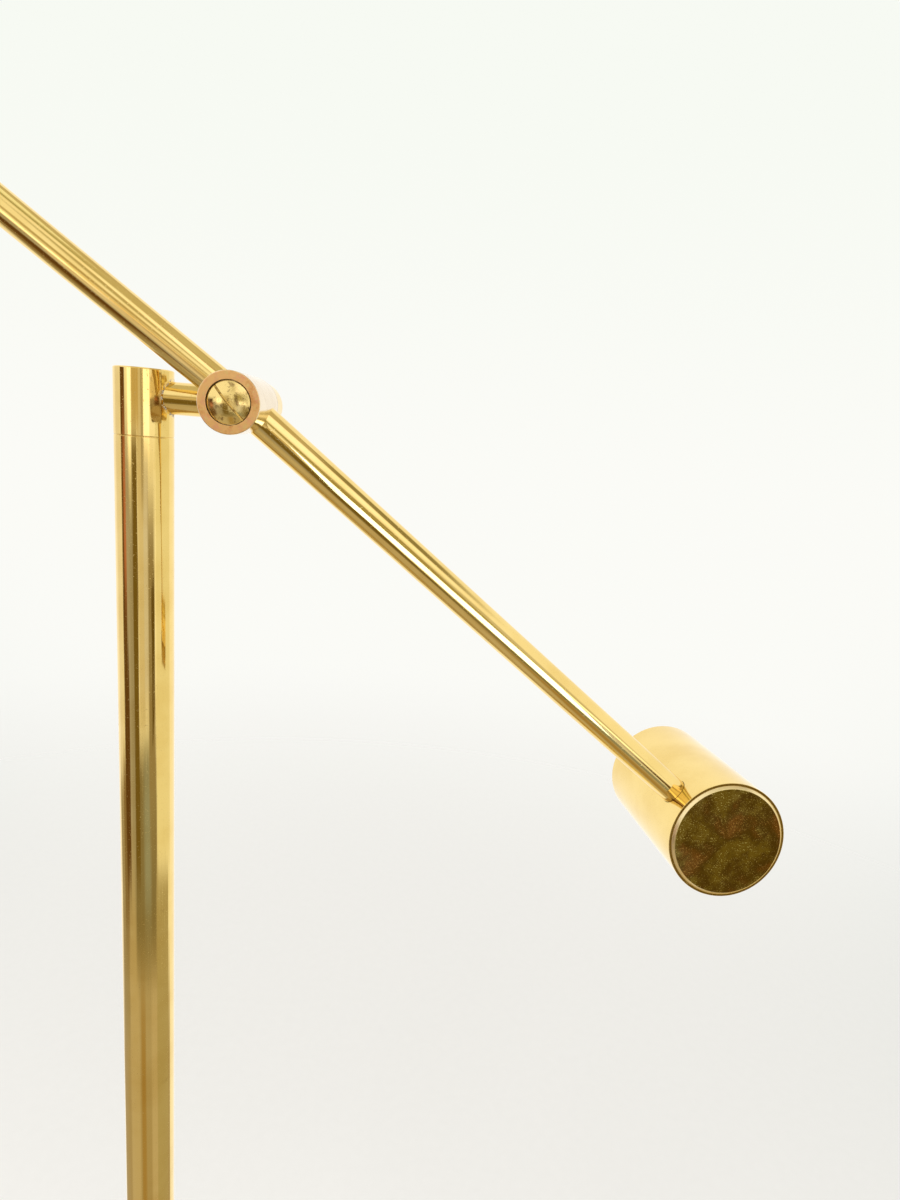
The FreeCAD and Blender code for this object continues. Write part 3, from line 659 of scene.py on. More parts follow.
def barrel_brass():
    """The arm's barrel: a bright side, painted shade at its rear seam and a dull, coppery, flat ring in front."""
    material, tree, shader, vector = blank("barrel_brass", on_pivot("knuckle_barrel"), Y)
    axes = axes_node(tree, vector)
    face = rest_of(tree, ramp_node(tree, axes["Z"], 0.04 * mm, 0.16 * mm))
    blotch = use_group(tree, tarnish, vector, Scale=160.0, Cover=0.55)
    polish = use_group(tree, polish_marks, vector, Roughness=0.1, Scatter=0.08, **lathed)
    ring = mix_node(tree, blotch["Mask"], ring_copper, ring_brown)
    ring = tint(tree, spots(tree, vector, 260.0, 4.0, 0.48, 0.62), 0.7, ring, ring_pink)
    ring = tint(tree, spots(tree, vector, 520.0, 3.0, 0.52, 0.66), 0.75, ring, ring_gold)
    # Painted shade: the barrel's last 1.1 mm behind its seam with the boss is darkened to stand for the shadow in
    # the gap
    seam_line = deep("knuckle_barrel") - 1.1 * mm
    seam_shade_mask = ramp_node(tree, axes["Z"], seam_line - 0.2 * mm, seam_line + 0.2 * mm)
    side = mix_node(tree, polish["Tone"], barrel_bright, barrel_deep)
    side = tint(tree, seam_shade_mask, 0.85, side, painted_seam_shade)
    rough = plus(tree, polish["Roughness"], share(tree, face, 0.26))
    metal(tree, shader, mix_node(tree, face, side, ring), rough, polish, deep_mark, 0.5)
    return material


def disc_brass(name, start, way, flat_radius):
    """A weight's end: mottled, speckled brass inside a satin chamfer."""
    material, tree, shader, vector = blank(name, start, way)
    axes = axes_node(tree, vector)
    reach = reach_node(tree, axes["X"], axes["Y"])
    rim = ramp_node(tree, reach, flat_radius - 0.05 * mm, flat_radius + 0.1 * mm)
    blotch = use_group(tree, tarnish, vector, Scale=60.0, Cover=0.8)
    streak = use_group(tree, polish_marks, vector, Roughness=0.08, Scatter=0.12, Fineness=300.0, Around=1.0,
                       Along=1.0, Ring=0.0)
    colour = mix_node(tree, blotch["Mask"], disc_gold, disc_brown)
    colour = tint(tree, spots(tree, vector, 55.0, 3.0, 0.52, 0.68), 0.65, colour, disc_red)
    colour = mix_node(tree, rim, colour, disc_rim)
    dust = share(tree, spots(tree, vector, 1500.0, 1.0, 0.66, 0.72), 0.35)
    rough = plus(tree, streak["Roughness"], dust)
    rough = plus(tree, rough, share(tree, rim, 0.22), clamp=True)
    metal(tree, shader, colour, rough, streak, fine_mark, 0.25)
    return material


def cap_brass():
    """The swivel cap, with polishing residue left in the corner round the stub."""
    material, tree, shader, vector = blank("cap_brass", on_pole(arm_pivot.z))
    axes = axes_node(tree, vector)
    reach = reach_node(tree, axes["Y"], axes["Z"])
    near = rest_of(tree, ramp_node(tree, reach, stub_radius + 0.2 * mm, stub_radius + 1.6 * mm))
    near = share(tree, near, math_node(tree, "GREATER_THAN", axes["X"], 0.0))
    crumbs = spots(tree, vector, 1500.0, 3.0, 0.46, 0.54)
    residue = share(tree, near, spots(tree, vector, 420.0, 2.0, 0.42, 0.56))
    polish = use_group(tree, polish_marks, vector, Roughness=0.045, Scatter=0.05, **drawn)
    colour = mix_node(tree, polish["Tone"], bright_brass, deep_brass)
    colour = mix_node(tree, residue, colour, mix_node(tree, crumbs, residue_dark, residue_pale))
    rough = plus(tree, polish["Roughness"], share(tree, residue, 0.5), clamp=True)
    metal(tree, shader, colour, rough, polish, fine_mark, 0.3)
    feed(tree, shader.inputs["Metallic"], rest_of(tree, residue))
    return material


def opal_glass():
    material, tree, shader, vector = blank("opal_glass", middle("bulb_glass"))
    cloud = noise_node(tree, vector, 40.0, 2.0)
    feed(tree, shader.inputs["Base Color"], mix_node(tree, cloud, opal_warm, opal_white))
    feed(tree, shader.inputs["Roughness"], ramp_node(tree, cloud, 0.3, 0.7, 0.22, 0.34))
    shader.inputs["Subsurface Weight"].default_value = 0.15
    shader.inputs["Subsurface Radius"].default_value = (0.006, 0.006, 0.005)
    shader.inputs["Coat Weight"].default_value = 0.2
    return material


steel = plain_finish("zinc_steel", (0.55, 0.54, 0.52, 1), 1.0, 0.35, 900.0, 0.02 * mm)
iron = plain_finish("cast_iron", (0.09, 0.09, 0.09, 1), 0.6, 0.6, 500.0, 0.2 * mm)
felt = plain_finish("pressed_felt", (0.055, 0.05, 0.045, 1), 0.0, 0.95, 1800.0, 0.4 * mm, 0.4, 0.3)
black_plastic = plain_finish("black_plastic", (0.018, 0.017, 0.016, 1), 0.0, 0.38, 1500.0, 0.03 * mm)
fibre = plain_finish("pressed_fibre", (0.10, 0.055, 0.03, 1), 0.0, 0.7, 1200.0, 0.1 * mm)
cap_aluminium = plain_finish("cap_aluminium", (0.8, 0.8, 0.8, 1), 1.0, 0.3, 700.0, 0.03 * mm)
inner_brass = stained_brass("inner_brass", origin, Z, 0.4, 90.0, 0.25)

finishes = {
    "brass_polished": inner_brass, "brass_satin": inner_brass, "steel": steel, "cast_iron": iron,
    "felt": felt, "black_plastic": black_plastic, "fibre": fibre, "cap_aluminium": cap_aluminium,
    "opal_glass": opal_glass(),
}
slots = {entry["node"]: entry["material_slot"] for entry in frame["record"]["subparts"]}
homes = {node: body for body, members in frame["record"]["behaviour"]["bodies"].items() for node in members}
for name, piece in nodes.items():
    piece.data.materials.clear()
    piece.data.materials.append(finishes[slots[name]])


def dress(piece, material, node):
    """Gives a new piece its finish and the body of the node that it stands for, and hides the node."""
    piece.data.materials.clear()
    piece.data.materials.append(material)
    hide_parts(node)
    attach(piece, homes[node])


def dress_brass(piece, node, name, start, way, work=drawn, **values):
    """Dresses a piece in a polished brass of its own."""
    dress(piece, polished_brass(name, start, way, work, **values), node)


# Base

base_top = high("base_cover").z
shoulder_radius = base_radius - base_shoulder
shoulder_height = base_top - base_shoulder
cover_path = [(cover_hole, base_top - sheet_wall), (cover_hole, base_top)]
cover_path += arc(shoulder_radius, shoulder_height, base_shoulder, 90, 0, 16)
cover_path += [(base_radius, skirt_lift), (base_radius - sheet_wall, skirt_lift)]
cover_path += arc(shoulder_radius, shoulder_height, base_shoulder - sheet_wall, 0, 90, 16)
cover = turned("base_shell", cover_path, origin, Z, wide_steps, edge=0.2 * mm)
inlet_middle = on_pole(middle("cord_inlet_bush").z)
bore(cover, inlet_radius + fit_gap, inlet_middle + Y * shoulder_radius, Y, base_shoulder * 2)
dress_brass(cover, "base_cover", "base_brass", origin, Z, lathed, rough=0.06, cover=0.1, marks=0.25)

pad = rod("felt_disc", high("base_pad").x, origin, Z, high("base_pad").z, wide_steps, edge=0.8 * mm)
dress(pad, felt, "base_pad")

bush_start = inlet_middle + Y * low("cord_inlet_bush").y
bush_length = deep("cord_inlet_bush")
neck_end = inlet_snap_depth + inlet_neck_depth
bush_path = [
    (inlet_bore, 0), (inlet_snap, 0), (inlet_snap, inlet_snap_depth), (inlet_radius, inlet_snap_depth),
    (inlet_radius, neck_end), (inlet_flange, neck_end), (inlet_flange, bush_length),
    (inlet_bore, bush_length)]
bush = turned("inlet_bush", bush_path, bush_start, Y, small_steps, edge=0.5 * mm)
dress(bush, black_plastic, "cord_inlet_bush")

# The collar's side is a hollow arc between its rim and its crown
collar_inner = pole_radius + fit_gap
collar_outer = high("base_collar").x
collar_height = tall("base_collar")
crown = collar_inner + collar_crown
fall = collar_height - collar_rim
width = collar_outer - crown
chord = math.hypot(width, fall)
cove_radius = (chord ** 2 / 4 + collar_sag ** 2) / (2 * collar_sag)
lift = (cove_radius - collar_sag) / chord
cove_centre = (collar_outer + crown) / 2 + fall * lift
cove_height = (collar_rim + collar_height) / 2 + width * lift
cove_first = math.degrees(math.atan2(collar_rim - cove_height, collar_outer - cove_centre))
cove_last = math.degrees(math.atan2(collar_height - cove_height, crown - cove_centre)) - 360
if cove_first - cove_last > 180:
    cove_last += 360
collar_path = [(collar_inner, 0), (collar_outer, 0)]
collar_path += arc(cove_centre, cove_height, cove_radius, cove_first, cove_last, 20)
collar_path += [(collar_inner, collar_height)]
collar = turned("pole_collar", collar_path, on_pole(base_top), Z, 160, edge=0.25 * mm)
dress_brass(collar, "base_collar", "collar_brass", on_pole(base_top), Z, lathed, rough=0.06, marks=0.3)

# Pole and swivel

pole_foot = on_pole(low("pole_tube").z)
pole = pipe("pole", pole_radius, pole_bore, pole_foot, Z, tall("pole_tube"))
dress_brass(pole, "pole_tube", "pole_brass", pole_foot, Z, marks=0.8)

seam = on_pole(low("swivel_washer").z)
washer = pipe("seam_washer", washer_radius, spindle_bore, seam, Z, tall("swivel_washer"), edge=0)
dress_brass(washer, "swivel_washer", "seam_brass", seam, Z, lathed, rough=0.15)

cap_height = tall("swivel_cap")
cap_path = [
    (0, 0), (pole_radius - seam_chamfer, 0), (pole_radius, seam_chamfer),
    (pole_radius, cap_height - cap_chamfer), (pole_radius - cap_chamfer, cap_height), (0, cap_height)]
cap = turned("pole_cap", cap_path, on_pole(low("swivel_cap").z), Z, edge=0.1 * mm)
grub_middle = on_pole(middle("swivel_grub_screw").z)
grub_face = high("swivel_grub_screw").y
bore(cap, grub_radius + fit_gap, grub_middle + Y * (grub_face - mm), Y, pole_radius)
dress(cap, cap_brass(), "swivel_cap")

grub_start = grub_middle + Y * low("swivel_grub_screw").y
grub_length = deep("swivel_grub_screw")
grub = rod("grub_screw", grub_radius, grub_start, Y, grub_length, small_steps, edge=0.25 * mm)
bore(grub, grub_flats / math.sqrt(3), grub_middle + Y * (grub_face - grub_flats), Y, pole_radius, steps=6)
dress(grub, steel, "swivel_grub_screw")

stub_start = Vector((low("stub_tube").x, 0, arm_pivot.z))
stub = rod("stub", stub_radius, stub_start, X, high("stub_tube").x - stub_start.x)
dress_brass(stub, "stub_tube", "stub_brass", stub_start, X, cover=0.25, marks=0.5)

# Arm joint

boss_front = on_pivot("knuckle_boss")
boss_length = deep("knuckle_boss")
plug_hole = plug_radius + fit_gap
boss_path = [
    (0, 0), (boss_radius, 0), (boss_radius, boss_length - boss_chamfer),
    (boss_radius - boss_chamfer, boss_length), (plug_hole, boss_length),
    (plug_hole, boss_length - plug_seat), (0, boss_length - plug_seat)]
boss = turned("joint_boss", boss_path, boss_front, Y)
dress_brass(boss, "knuckle_boss", "boss_brass", boss_front, Y, lathed, rough=0.08, marks=0.4)

plug_front = on_pivot("knuckle_rear_plug")
plug = rod("joint_rear_plug", plug_radius, plug_front, Y, deep("knuckle_rear_plug"))
dress_brass(plug, "knuckle_rear_plug", "plug_brass", plug_front, Y, lathed, rough=0.08, marks=0.4)

friction_front = on_pivot("knuckle_friction_washer")
friction_disc = pipe("friction_disc", friction_radius, friction_bore, friction_front, Y,
                     deep("knuckle_friction_washer"), edge=0)
dress(friction_disc, fibre, "knuckle_friction_washer")

barrel_length = deep("knuckle_barrel")
counterbore_floor = counterbore_depth + fit_gap
screw_hole = screw_radius + fit_gap
barrel_path = [
    (screw_hole, counterbore_floor), (counterbore_radius, counterbore_floor), (counterbore_radius, 0),
    (barrel_radius - barrel_chamfer, 0), (barrel_radius, barrel_chamfer),
    (barrel_radius, barrel_length - barrel_chamfer), (barrel_radius - barrel_chamfer, barrel_length),
    (screw_hole, barrel_length)]
barrel = turned("joint_barrel", barrel_path, on_pivot("knuckle_barrel"), Y, edge=0.1 * mm)
dress(barrel, barrel_brass(), "knuckle_barrel")


def brass_screw(name, node, finish, tip, sizes, slot_size, fall):
    """A screw in brass with painted shade inside its slot."""
    screw = slotted_screw(name, *sizes, deep(node), tip, slot_size, fall)
    dress(screw, stained_brass(finish, tip, Y, 0.5, 420.0, 0.15, (fall, slot_size[0])), node)


screw_sizes = (screw_radius, screw_head, screw_dome, screw_head_height)
brass_screw("joint_screw", "knuckle_screw", "screw_brass", on_pivot("knuckle_screw"), screw_sizes,
            (slot_width, slot_depth), slot_fall)

# Arm and counterweight

front_start = arm_pivot + front_way * arm_root
front_length = front_reach - arm_root - arm_in_head
front_arm = pipe("front_arm_tube", arm_radius, arm_bore, front_start, front_way, front_length,
                 edge=0.1 * mm)
dress_brass(front_arm, "front_arm", "front_arm_brass", arm_pivot, front_way, cover=0.2, marks=0.8)

rear_start = arm_pivot + rear_way * arm_root
rear_length = rear_end - arm_root
rear_first = rear_root + (rear_tip - rear_root) * arm_root / rear_end
rear_path = [(rear_bore, 0), (rear_first, 0), (rear_tip, rear_length), (rear_bore, rear_length)]
rear_arm = turned("rear_arm_tube", rear_path, rear_start, rear_way, edge=0.1 * mm)
dress_brass(rear_arm, "rear_arm", "rear_arm_brass", arm_pivot, rear_way, cover=0.2, marks=0.8)

sleeve_start = weight_middle - weight_way * weight_front
sleeve_end = sleeve_start + weight_way * weight_length
sleeve = pipe("weight_tube", weight_radius, weight_radius - weight_wall, sleeve_start, weight_way,
              weight_length, disc_steps)
socket_start = arm_pivot + rear_way * (weight_distance - socket_reach)
bore(sleeve, rear_tip + socket_gap, socket_start, rear_way, weight_radius, round_steps)
dress_brass(sleeve, "weight_sleeve", "weight_brass", sleeve_start, weight_way, rough=0.07, cover=0.05,
            marks=0.2)


def weight_disc(name, start, way, node):
    """An end of the weight, which stands out of the sleeve by its chamfer."""
    radius = weight_radius - weight_wall - fit_gap
    path = [(0, 0), (radius - disc_chamfer, 0), (radius, disc_proud), (radius, disc_depth), (0, disc_depth)]
    face = start - way * disc_proud
    disc = turned(name, path, face, way, disc_steps, edge=0.1 * mm)
    dress(disc, disc_brass(name + "_brass", face, way, radius - disc_chamfer), node)


weight_disc("weight_front_disc", sleeve_start, weight_way, "weight_front_cap")
weight_disc("weight_rear_disc", sleeve_end, weight_way * -1, "weight_rear_cap")

# Head joint and stem

head_front = on_head("head_boss")
head_length = deep("head_boss")
head_path = [
    (head_bore, head_counterbore_depth), (head_counterbore, head_counterbore_depth), (head_counterbore, 0),
    (head_radius - head_chamfer, 0), (head_radius, head_chamfer), (head_radius, head_length),
    (head_bore, head_length)]
head_boss = turned("shade_joint_boss", head_path, head_front, Y)
dress_brass(head_boss, "head_boss", "head_boss_brass", head_front, Y, lathed, rough=0.08, marks=0.4)

head_disc_front = on_head("head_friction_washer") + Y * fit_gap
head_disc = pipe("shade_joint_disc", head_washer_radius, head_washer_bore, head_disc_front, Y,
                 deep("head_friction_washer") - fit_gap, edge=0)
dress(head_disc, fibre, "head_friction_washer")

head_back = on_head("head_barrel")
back_length = deep("head_barrel")
back_path = [
    (head_bore, 0), (head_radius, 0), (head_radius, back_length - head_chamfer),
    (head_radius - head_chamfer, back_length), (head_bore, back_length)]
head_barrel = turned("shade_joint_barrel", back_path, head_back, Y)
dress_brass(head_barrel, "head_barrel", "head_barrel_brass", head_back, Y, lathed, rough=0.08, marks=0.4)

head_screw_sizes = (head_screw_radius, head_screw_head, head_screw_dome, head_screw_height)
brass_screw("shade_joint_screw", "head_screw", "head_screw_brass", on_head("head_screw"), head_screw_sizes,
            (head_slot_width, head_slot_depth), 0)

housing_top = high("socket_housing").z
housing_bottom = low("socket_housing").z
stem_top = under_head(high("head_stem").z)
flange_bottom = stem_top.z - housing_top
flange_top = flange_bottom - stem_flange_height
stem_path = [
    (stem_bore, 0), (stem_radius, 0), (stem_radius, flange_top), (stem_flange, flange_top),
    (stem_flange, flange_bottom), (stem_radius, flange_bottom), (stem_radius, flange_bottom + stem_tail),
    (stem_bore, flange_bottom + stem_tail)]
stem = turned("shade_stem", stem_path, stem_top, down, 96, edge=0.4 * mm)
dress_brass(stem, "head_stem", "stem_brass", stem_top, down, lathed, rough=0.06)

# Lamp head

housing_height = housing_top - housing_bottom
housing_inner = housing_radius - sheet_wall
crown_radius = housing_radius - housing_corner
housing_path = [(housing_hole, 0)]
housing_path += arc(crown_radius, housing_corner, housing_corner, -90, 0, 14)
housing_path += [(housing_radius, housing_height), (housing_inner, housing_height)]
housing_path += arc(crown_radius, housing_corner, housing_corner - sheet_wall, 0, -90, 14)
housing_path += [(housing_hole, sheet_wall)]
housing_start = under_head(housing_top)
housing = turned("socket_cup", housing_path, housing_start, down, 160)
switch_middle = under_head(middle("switch_knob").z)
bore(housing, switch_hole, switch_middle, X * -1, housing_radius * 2)
dress_brass(housing, "socket_housing", "housing_brass", housing_start, down, lathed, rough=0.055,
            marks=0.25)

knob_length = middle("socket_housing").x - housing_radius - low("switch_knob").x - knob_stand
knob_start = Vector((low("switch_knob").x + knob_length, switch_middle.y, switch_middle.z))
knob_path = [
    (0, 0), (knob_radius, 0), (knob_radius, knob_length), (knob_radius - knob_rim, knob_length),
    (knob_radius - knob_rim * 2, knob_length - knob_dish), (0, knob_length - knob_dish)]
knob = turned("switch_button", knob_path, knob_start, X * -1, 96, edge=0)
flute_reach = knob_radius + flute_radius - flute_bite
flutes(knob, flute_count, flute_radius, flute_reach, knob_start + X * flute_overrun, X * -1,
       knob_length + 2 * flute_overrun)
finish_edges(knob, 0.35 * mm, cut_sharp)
dress(knob, black_plastic, "switch_knob")

holder_top = high("lampholder").z
holder_step = holder_top - housing_bottom
holder_length = tall("lampholder")
holder_path = [(0, 0), (holder_upper, 0), (holder_upper, holder_step), (skirt_radius, holder_step)]
thread_start = holder_step + shade_wall + tall("shade_ring") + thread_pitch
for index in range(thread_turns):
    crest = thread_start + index * thread_pitch
    holder_path += [(skirt_radius, crest - thread_flank), (skirt_radius - thread_depth, crest),
                    (skirt_radius, crest + thread_flank)]
holder_path += [
    (skirt_radius, holder_length), (skirt_bore, holder_length), (skirt_bore, holder_floor),
    (0, holder_floor)]
holder = turned("lamp_socket", holder_path, under_head(holder_top), down, edge=0.2 * mm)
dress(holder, black_plastic, "lampholder")

skirt_hole = skirt_radius + fit_gap
ring_top = high("shade_ring").z
ring_height = tall("shade_ring")
ring = pipe("shade_nut", ring_radius, skirt_hole, under_head(ring_top), down, ring_height, edge=0)
flutes(ring, ring_notches, flute_radius, ring_radius + notch_out, under_head(ring_top + flute_overrun),
       down, ring_height + 2 * flute_overrun)
finish_edges(ring, 0.4 * mm, cut_sharp)
dress(ring, black_plastic, "shade_ring")

shade_height = math.sqrt(shade_radius ** 2 - shade_neck ** 2)
shade_angle = math.degrees(math.asin(shade_height / shade_radius))
shade_inner = shade_radius - shade_wall
inner_angle = math.degrees(math.asin((shade_height - shade_wall) / shade_inner))
shade_path = [(skirt_hole, 0)]
shade_path += arc(0, shade_height, shade_radius, -shade_angle, 0, 40)
shade_path += [(shade_radius, shade_height + shade_lip), (shade_inner, shade_height + shade_lip)]
shade_path += arc(0, shade_height, shade_inner, 0, -inner_angle, 40)
shade_path += [(skirt_hole, shade_wall)]
shade_top = under_head(housing_bottom)
shade = turned("shade_dome", shade_path, shade_top, down, wide_steps)
dress_brass(shade, "shade", "shade_brass", shade_top, down, lathed, rough=0.055, cover=0.1, marks=0.25)

bulb_top = high("bulb_glass").z
bulb_end = bulb_top - low("bulb_glass").z
bulb_path = [(0, 0), (bulb_neck, 0)]
bulb_path += arc(0, bulb_end - bulb_radius, bulb_radius, -bulb_tangent, 90, 36)[:-1]
bulb_path += [(0, bulb_end)]
bulb = turned("opal_bulb", bulb_path, under_head(bulb_top), down, edge=0, sharp=60)
dress(bulb, finishes["opal_glass"], "bulb_glass")

# Stage

world = bpy.data.worlds.new("studio")
bpy.context.scene.world = world
world.use_nodes = True
sky = world.node_tree
sky.nodes.clear()
compass = sky.nodes.new("ShaderNodeTexCoord").outputs["Generated"]
sky_axes = axes_node(sky, compass)
height = sky_axes["Z"]

backdrop_top = (0.93, 0.955, 0.895, 1)
backdrop_middle = (0.965, 0.965, 0.925, 1)
backdrop_low = (0.905, 0.895, 0.86, 1)
backdrop_corner = (0.78, 0.80, 0.76, 1)
picture_way = (0.05, 0.97, -0.23)
backdrop = mix_node(sky, ramp_node(sky, height, -0.1, 0.4), backdrop_middle, backdrop_top)
backdrop = mix_node(sky, ramp_node(sky, height, -0.25, -0.75), backdrop, backdrop_low)
aside = ramp_node(sky, along_node(sky, compass, picture_way), 0.93, 0.70)
corner = share(sky, aside, ramp_node(sky, height, -0.1, -0.6))
backdrop = mix_node(sky, corner, backdrop, backdrop_corner)

azimuth = math_node(sky, "ARCTAN2", sky_axes["X"], share(sky, sky_axes["Y"], -1.0))
azimuth = math_node(sky, "DEGREES", azimuth)
elevation = math_node(sky, "DEGREES", math_node(sky, "ARCSINE", height))

# The room that the metal mirrors: azimuth from and to, elevation from and to, how soft the upright and the
# level edges are, all in degrees, and colour. Azimuth 0 points to -Y and grows towards +X.
room_white = (1.12, 1.10, 1.08, 1)
room_parts = [
    (-132, 128, -95, -39, 10, 10, (0.46, 0.38, 0.26, 1)),
    (-118, 64, -45, -27, 10, 6, (0.50, 0.43, 0.33, 1)),
    (-74, -24, -95, -36, 14, 8, (0.58, 0.50, 0.39, 1)),
    (30, 60, -95, -38, 12, 8, (0.58, 0.50, 0.40, 1)),
    (-17, 3, -95, -40, 10, 8, (0.42, 0.29, 0.12, 1)),
    (-34, 58, -38, -24, 10, 5, (0.27, 0.23, 0.14, 1)),
    (6, 34, -35, -25, 14, 6, (0.34, 0.36, 0.35, 1)),
    (60, 128, -33, 10, 6, 7, (0.95, 0.92, 0.78, 1)),
    (56, 117, -60, -32.5, 5, 3, (0.49, 0.43, 0.29, 1)),
    (-114, -82, -30, 20, 10, 8, (0.94, 0.91, 0.94, 1)),
    (-118, -72, -42, -26, 8, 4, (0.42, 0.36, 0.27, 1)),
    (-94, -67, -36, -25, 8, 5, (0.28, 0.20, 0.11, 1)),
    (-58, -43, -31, -2, 5, 8, (0.46, 0.43, 0.44, 1)),
    (-45, -28, -32, -6, 6, 8, (0.40, 0.37, 0.35, 1)),
    (-45, -31, -3, 9, 6, 5, (1.9, 1.85, 1.9, 1)),
    (-7, 16, -22.5, 5, 4, 4, (0.77, 0.70, 0.60, 1)),
    (14, 31, -21.5, -3, 4, 5, (0.75, 0.73, 0.80, 1)),
    (16, 38, -2.5, 6, 5, 4, (2.0, 1.9, 1.95, 1)),
    (6, 15, -7, 5, 5, 4, (0.47, 0.41, 0.33, 1)),
    (29, 54, -30, -7, 7, 8, (0.35, 0.29, 0.19, 1)),
    (-30, -10, -33, -2, 5, 4, (0.19, 0.13, 0.03, 1)),
    (-29, -3, -2, 6, 5, 4, (0.66, 0.52, 0.28, 1)),
    (-79, -58, -31, 7, 5, 6, (0.15, 0.075, 0.02, 1)),
    (-76, -53, -33, -17, 4, 5, (0.14, 0.07, 0.02, 1)),
    (-69, -58, -13, -2, 5, 6, (0.55, 0.22, 0.14, 1)),
    (-27, -5, 8, 20, 8, 8, (0.58, 0.48, 0.30, 1)),
    (10, 60, 34, 58, 12, 10, (1.5, 1.4, 1.5, 1)),
    (20, 46, 4, 26, 10, 6, (0.72, 0.68, 0.60, 1)),
    (4, 30, 7, 27, 8, 7, (0.45, 0.38, 0.18, 1)),
    (-5, 9, 32, 50, 8, 8, (0.60, 0.54, 0.38, 1)),
    (70, 118, 40, 58, 12, 8, (0.34, 0.30, 0.18, 1)),
    (31, 180, 55, 66, 5, 5, (0.62, 0.53, 0.38, 1)),
    (-200, 200, 64, 95, 6, 8, (0.66, 0.60, 0.44, 1)),
    (8, 34, 67, 75, 6, 3, (0.50, 0.49, 0.30, 1)),
    (-200, 200, 78.5, 97, 6, 3, (1.1, 1.15, 1.1, 1)),
]
room = room_white
for first, last, bottom, top, side_blur, level_blur, colour in room_parts:
    part = use_group(sky, room_part, azimuth, Elevation=elevation, First=first, Last=last, Bottom=bottom,
                     Top=top, Side=side_blur / 2, Level=level_blur / 2)
    room = mix_node(sky, part["Mask"], room, colour)


def choose(tree, factor, other, chosen):
    """One surface where the factor is 0 and the other where it is 1."""
    mixer = tree.nodes.new("ShaderNodeMixShader")
    tree.links.new(factor, mixer.inputs["Fac"])
    tree.links.new(other, mixer.inputs[1])
    tree.links.new(chosen, mixer.inputs[2])
    return mixer.outputs[0]


def glow(tree, kind, colour):
    source = tree.nodes.new(kind)
    feed(tree, source.inputs["Color"], colour)
    return source.outputs[0]


rays = sky.nodes.new("ShaderNodeLightPath")
daylight = glow(sky, "ShaderNodeBackground", (0.85, 0.84, 0.82, 1))
shown = choose(sky, rays.outputs["Is Glossy Ray"], daylight, glow(sky, "ShaderNodeBackground", room))
shown = choose(sky, rays.outputs["Is Camera Ray"], shown, glow(sky, "ShaderNodeBackground", backdrop))
sky.links.new(shown, sky.nodes.new("ShaderNodeOutputWorld").inputs["Surface"])


def fade_out(tree, surface, reach, start, end):
    """Lets a material go clear as reach grows from start to end."""
    clear = tree.nodes.new("ShaderNodeBsdfTransparent").outputs[0]
    faded = choose(tree, ramp_node(tree, reach, start, end), surface, clear)
    tree.links.new(faded, tree.nodes["Material Output"].inputs["Surface"])


floor_radius = 4.0
floor_edge = 3.2
floor_middle = 0.5
floor = start_piece("floor", bpy.ops.mesh.primitive_circle_add, vertices=96, radius=floor_radius,
                    fill_type="NGON", location=origin)
floor_paint, floor_tree, floor_shader, floor_place = blank("floor_paint")
floor_axes = axes_node(floor_tree, floor_place)
floor_reach = reach_node(floor_tree, floor_axes["X"], floor_axes["Y"])
grain = noise_node(floor_tree, floor_place, 60.0, 4.0)
floor_colour = mix_node(floor_tree, grain, (0.865, 0.86, 0.835, 1), (0.895, 0.89, 0.865, 1))
feed(floor_tree, floor_shader.inputs["Base Color"], floor_colour)
floor_shader.inputs["Roughness"].default_value = 0.85
fade_out(floor_tree, floor_shader.outputs[0], floor_reach, floor_middle, floor_edge)
floor.data.materials.append(floor_paint)
floor.visible_glossy = False


def facing(front, along):
    """A turn that points +Z along front and +X as near to along as it goes."""
    front = front.normalized()
    side = (along - front * along.dot(front)).normalized()
    return Matrix((side, front.cross(side), front)).transposed()


def area_lamp(name, shape, size, power, colour, spot, turn):
    data = bpy.data.lights.new(name, "AREA")
    data.shape = shape
    data.size = size
    data.energy = power
    data.color = colour
    lamp = bpy.data.objects.new(name, data)
    bpy.context.scene.collection.objects.link(lamp)
    lamp.location = spot
    lamp.rotation_euler = turn.to_euler()
    return lamp


def arm_lamp(name, spot, target, along, length, width, radiance, colour, piece):
    """A long studio lamp that lights one piece only."""
    power = radiance * math.pi * length * width
    lamp = area_lamp(name, "RECTANGLE", length, power, colour, spot, facing(spot - target, along))
    lamp.data.size_y = width
    lamp.visible_camera = False
    receivers = bpy.data.collections.new(name + "_pieces")
    receivers.objects.link(bpy.data.objects[piece])
    lamp.light_linking.receiver_collection = receivers


key_spot = Vector((-1.0, -1.8, 3.4))
key_turn = (Vector((0, 0, 0.7)) - key_spot).to_track_quat("-Z", "Y")
key_lamp = area_lamp("key_lamp", "DISK", 1.6, 40, (1.0, 0.98, 0.95), key_spot, key_turn)
key_lamp.visible_glossy = False

arm_lamp("rear_arm_lamp", arm_pivot + Vector((155, -485, -135)) * mm, arm_pivot + rear_way * 115 * mm,
         Vector((351, 36, -146)), 420 * mm, 260 * mm, 4.0, (0.42, 0.60, 1.0), "rear_arm_tube")
arm_lamp("front_arm_lamp", arm_pivot + Vector((-297, -414, -55)) * mm, arm_pivot + front_way * 60 * mm,
         front_way, 190 * mm, 287 * mm, 0.4, (1.0, 0.88, 0.85), "front_arm_tube")

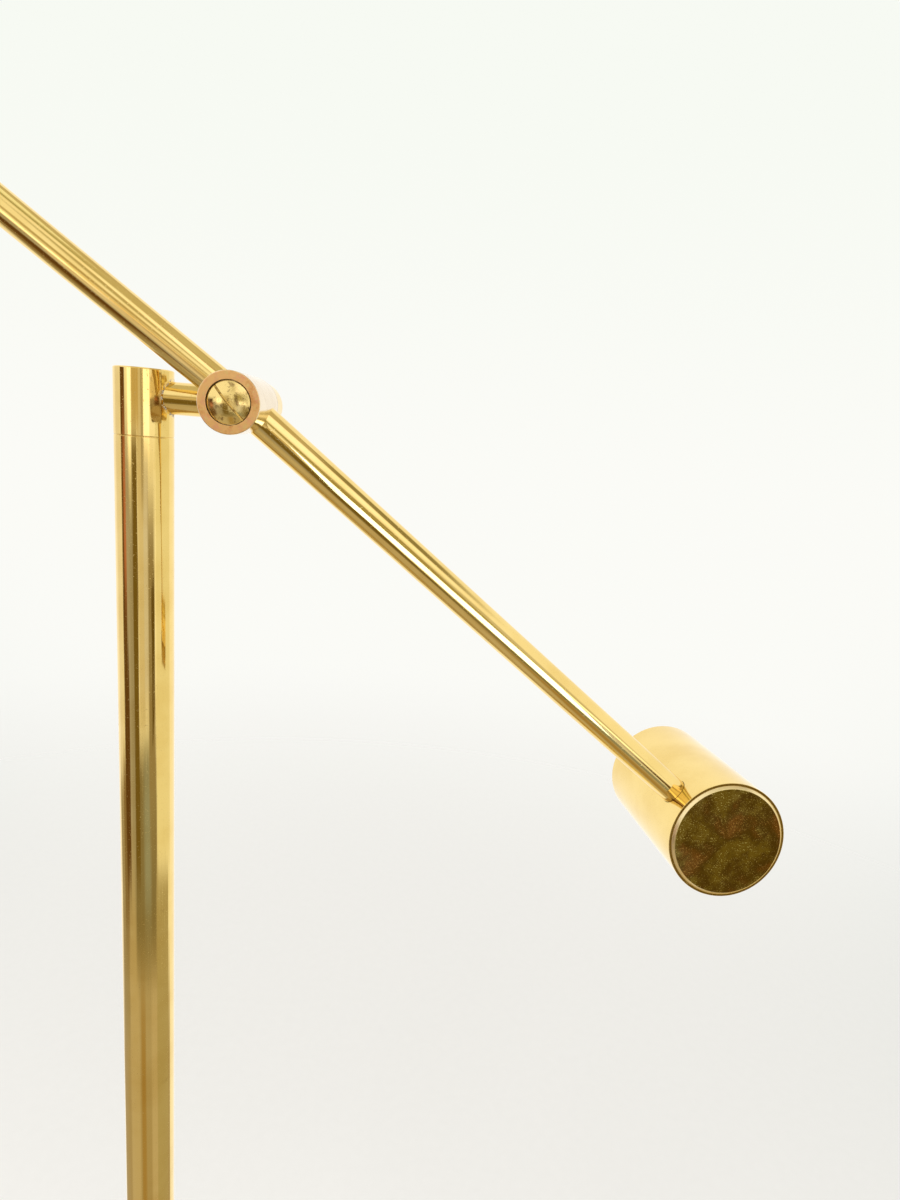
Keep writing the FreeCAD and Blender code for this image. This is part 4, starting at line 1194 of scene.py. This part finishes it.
# A dark card in front of the weight, with faded ends, that only shows in the metal
flag_spot = arm_pivot + Vector((530, -500, -360)) * mm
flag_length = 220 * mm
flag_width = 230 * mm
flag_fade = 10 * mm
flag = start_piece("weight_flag", bpy.ops.mesh.primitive_plane_add, size=1, location=origin)
flag.scale = (flag_length, flag_width, 1)
flag.rotation_mode = "QUATERNION"
flag.rotation_quaternion = facing(Y, X).to_quaternion()
flag.location = flag_spot
bpy.ops.object.transform_apply(location=True, rotation=True, scale=True)
flag_paint, flag_tree, flag_shader, flag_place = blank("weight_flag_paint", flag_spot)
flag_tree.nodes.remove(flag_shader)
flag_reach = math_node(flag_tree, "ABSOLUTE", axes_node(flag_tree, flag_place)["X"])
flag_glow = glow(flag_tree, "ShaderNodeEmission", (0.15, 0.10, 0.02, 1))
fade_out(flag_tree, flag_glow, flag_reach, flag_length / 2 - flag_fade, flag_length / 2)
flag_paint.cycles.emission_sampling = "NONE"
flag.data.materials.append(flag_paint)
flag.visible_camera = False
flag.visible_diffuse = False
flag.visible_shadow = False
flag.visible_transmission = False

# Camera, at the photograph's viewing angle

camera_right = 122.234 * mm
camera_ahead = -342.536 * mm
camera_under_cap = 12.969 * mm
camera_yaw = math.radians(-2.987)
camera_pitch = math.radians(13.013)
camera_roll = math.radians(4.885)
focal_pixels = 752.452
image_height = 1200
camera_spot = Vector((camera_right, camera_ahead, high("swivel_cap").z - camera_under_cap))

lens = bpy.data.cameras.new("camera")
lens.sensor_fit = "VERTICAL"
lens.sensor_height = 36.0
lens.lens = focal_pixels / image_height * lens.sensor_height
lens.clip_start = 0.01
camera = bpy.data.objects.new("camera", lens)
bpy.context.scene.collection.objects.link(camera)
aim = Matrix.Rotation(camera_yaw, 4, "Z") @ Matrix.Rotation(math.pi / 2 - camera_pitch, 4, "X")
camera.matrix_world = Matrix.Translation(camera_spot) @ aim @ Matrix.Rotation(camera_roll, 4, "Z")
bpy.context.scene.camera = camera
bpy.context.scene.view_settings.view_transform = "Standard"
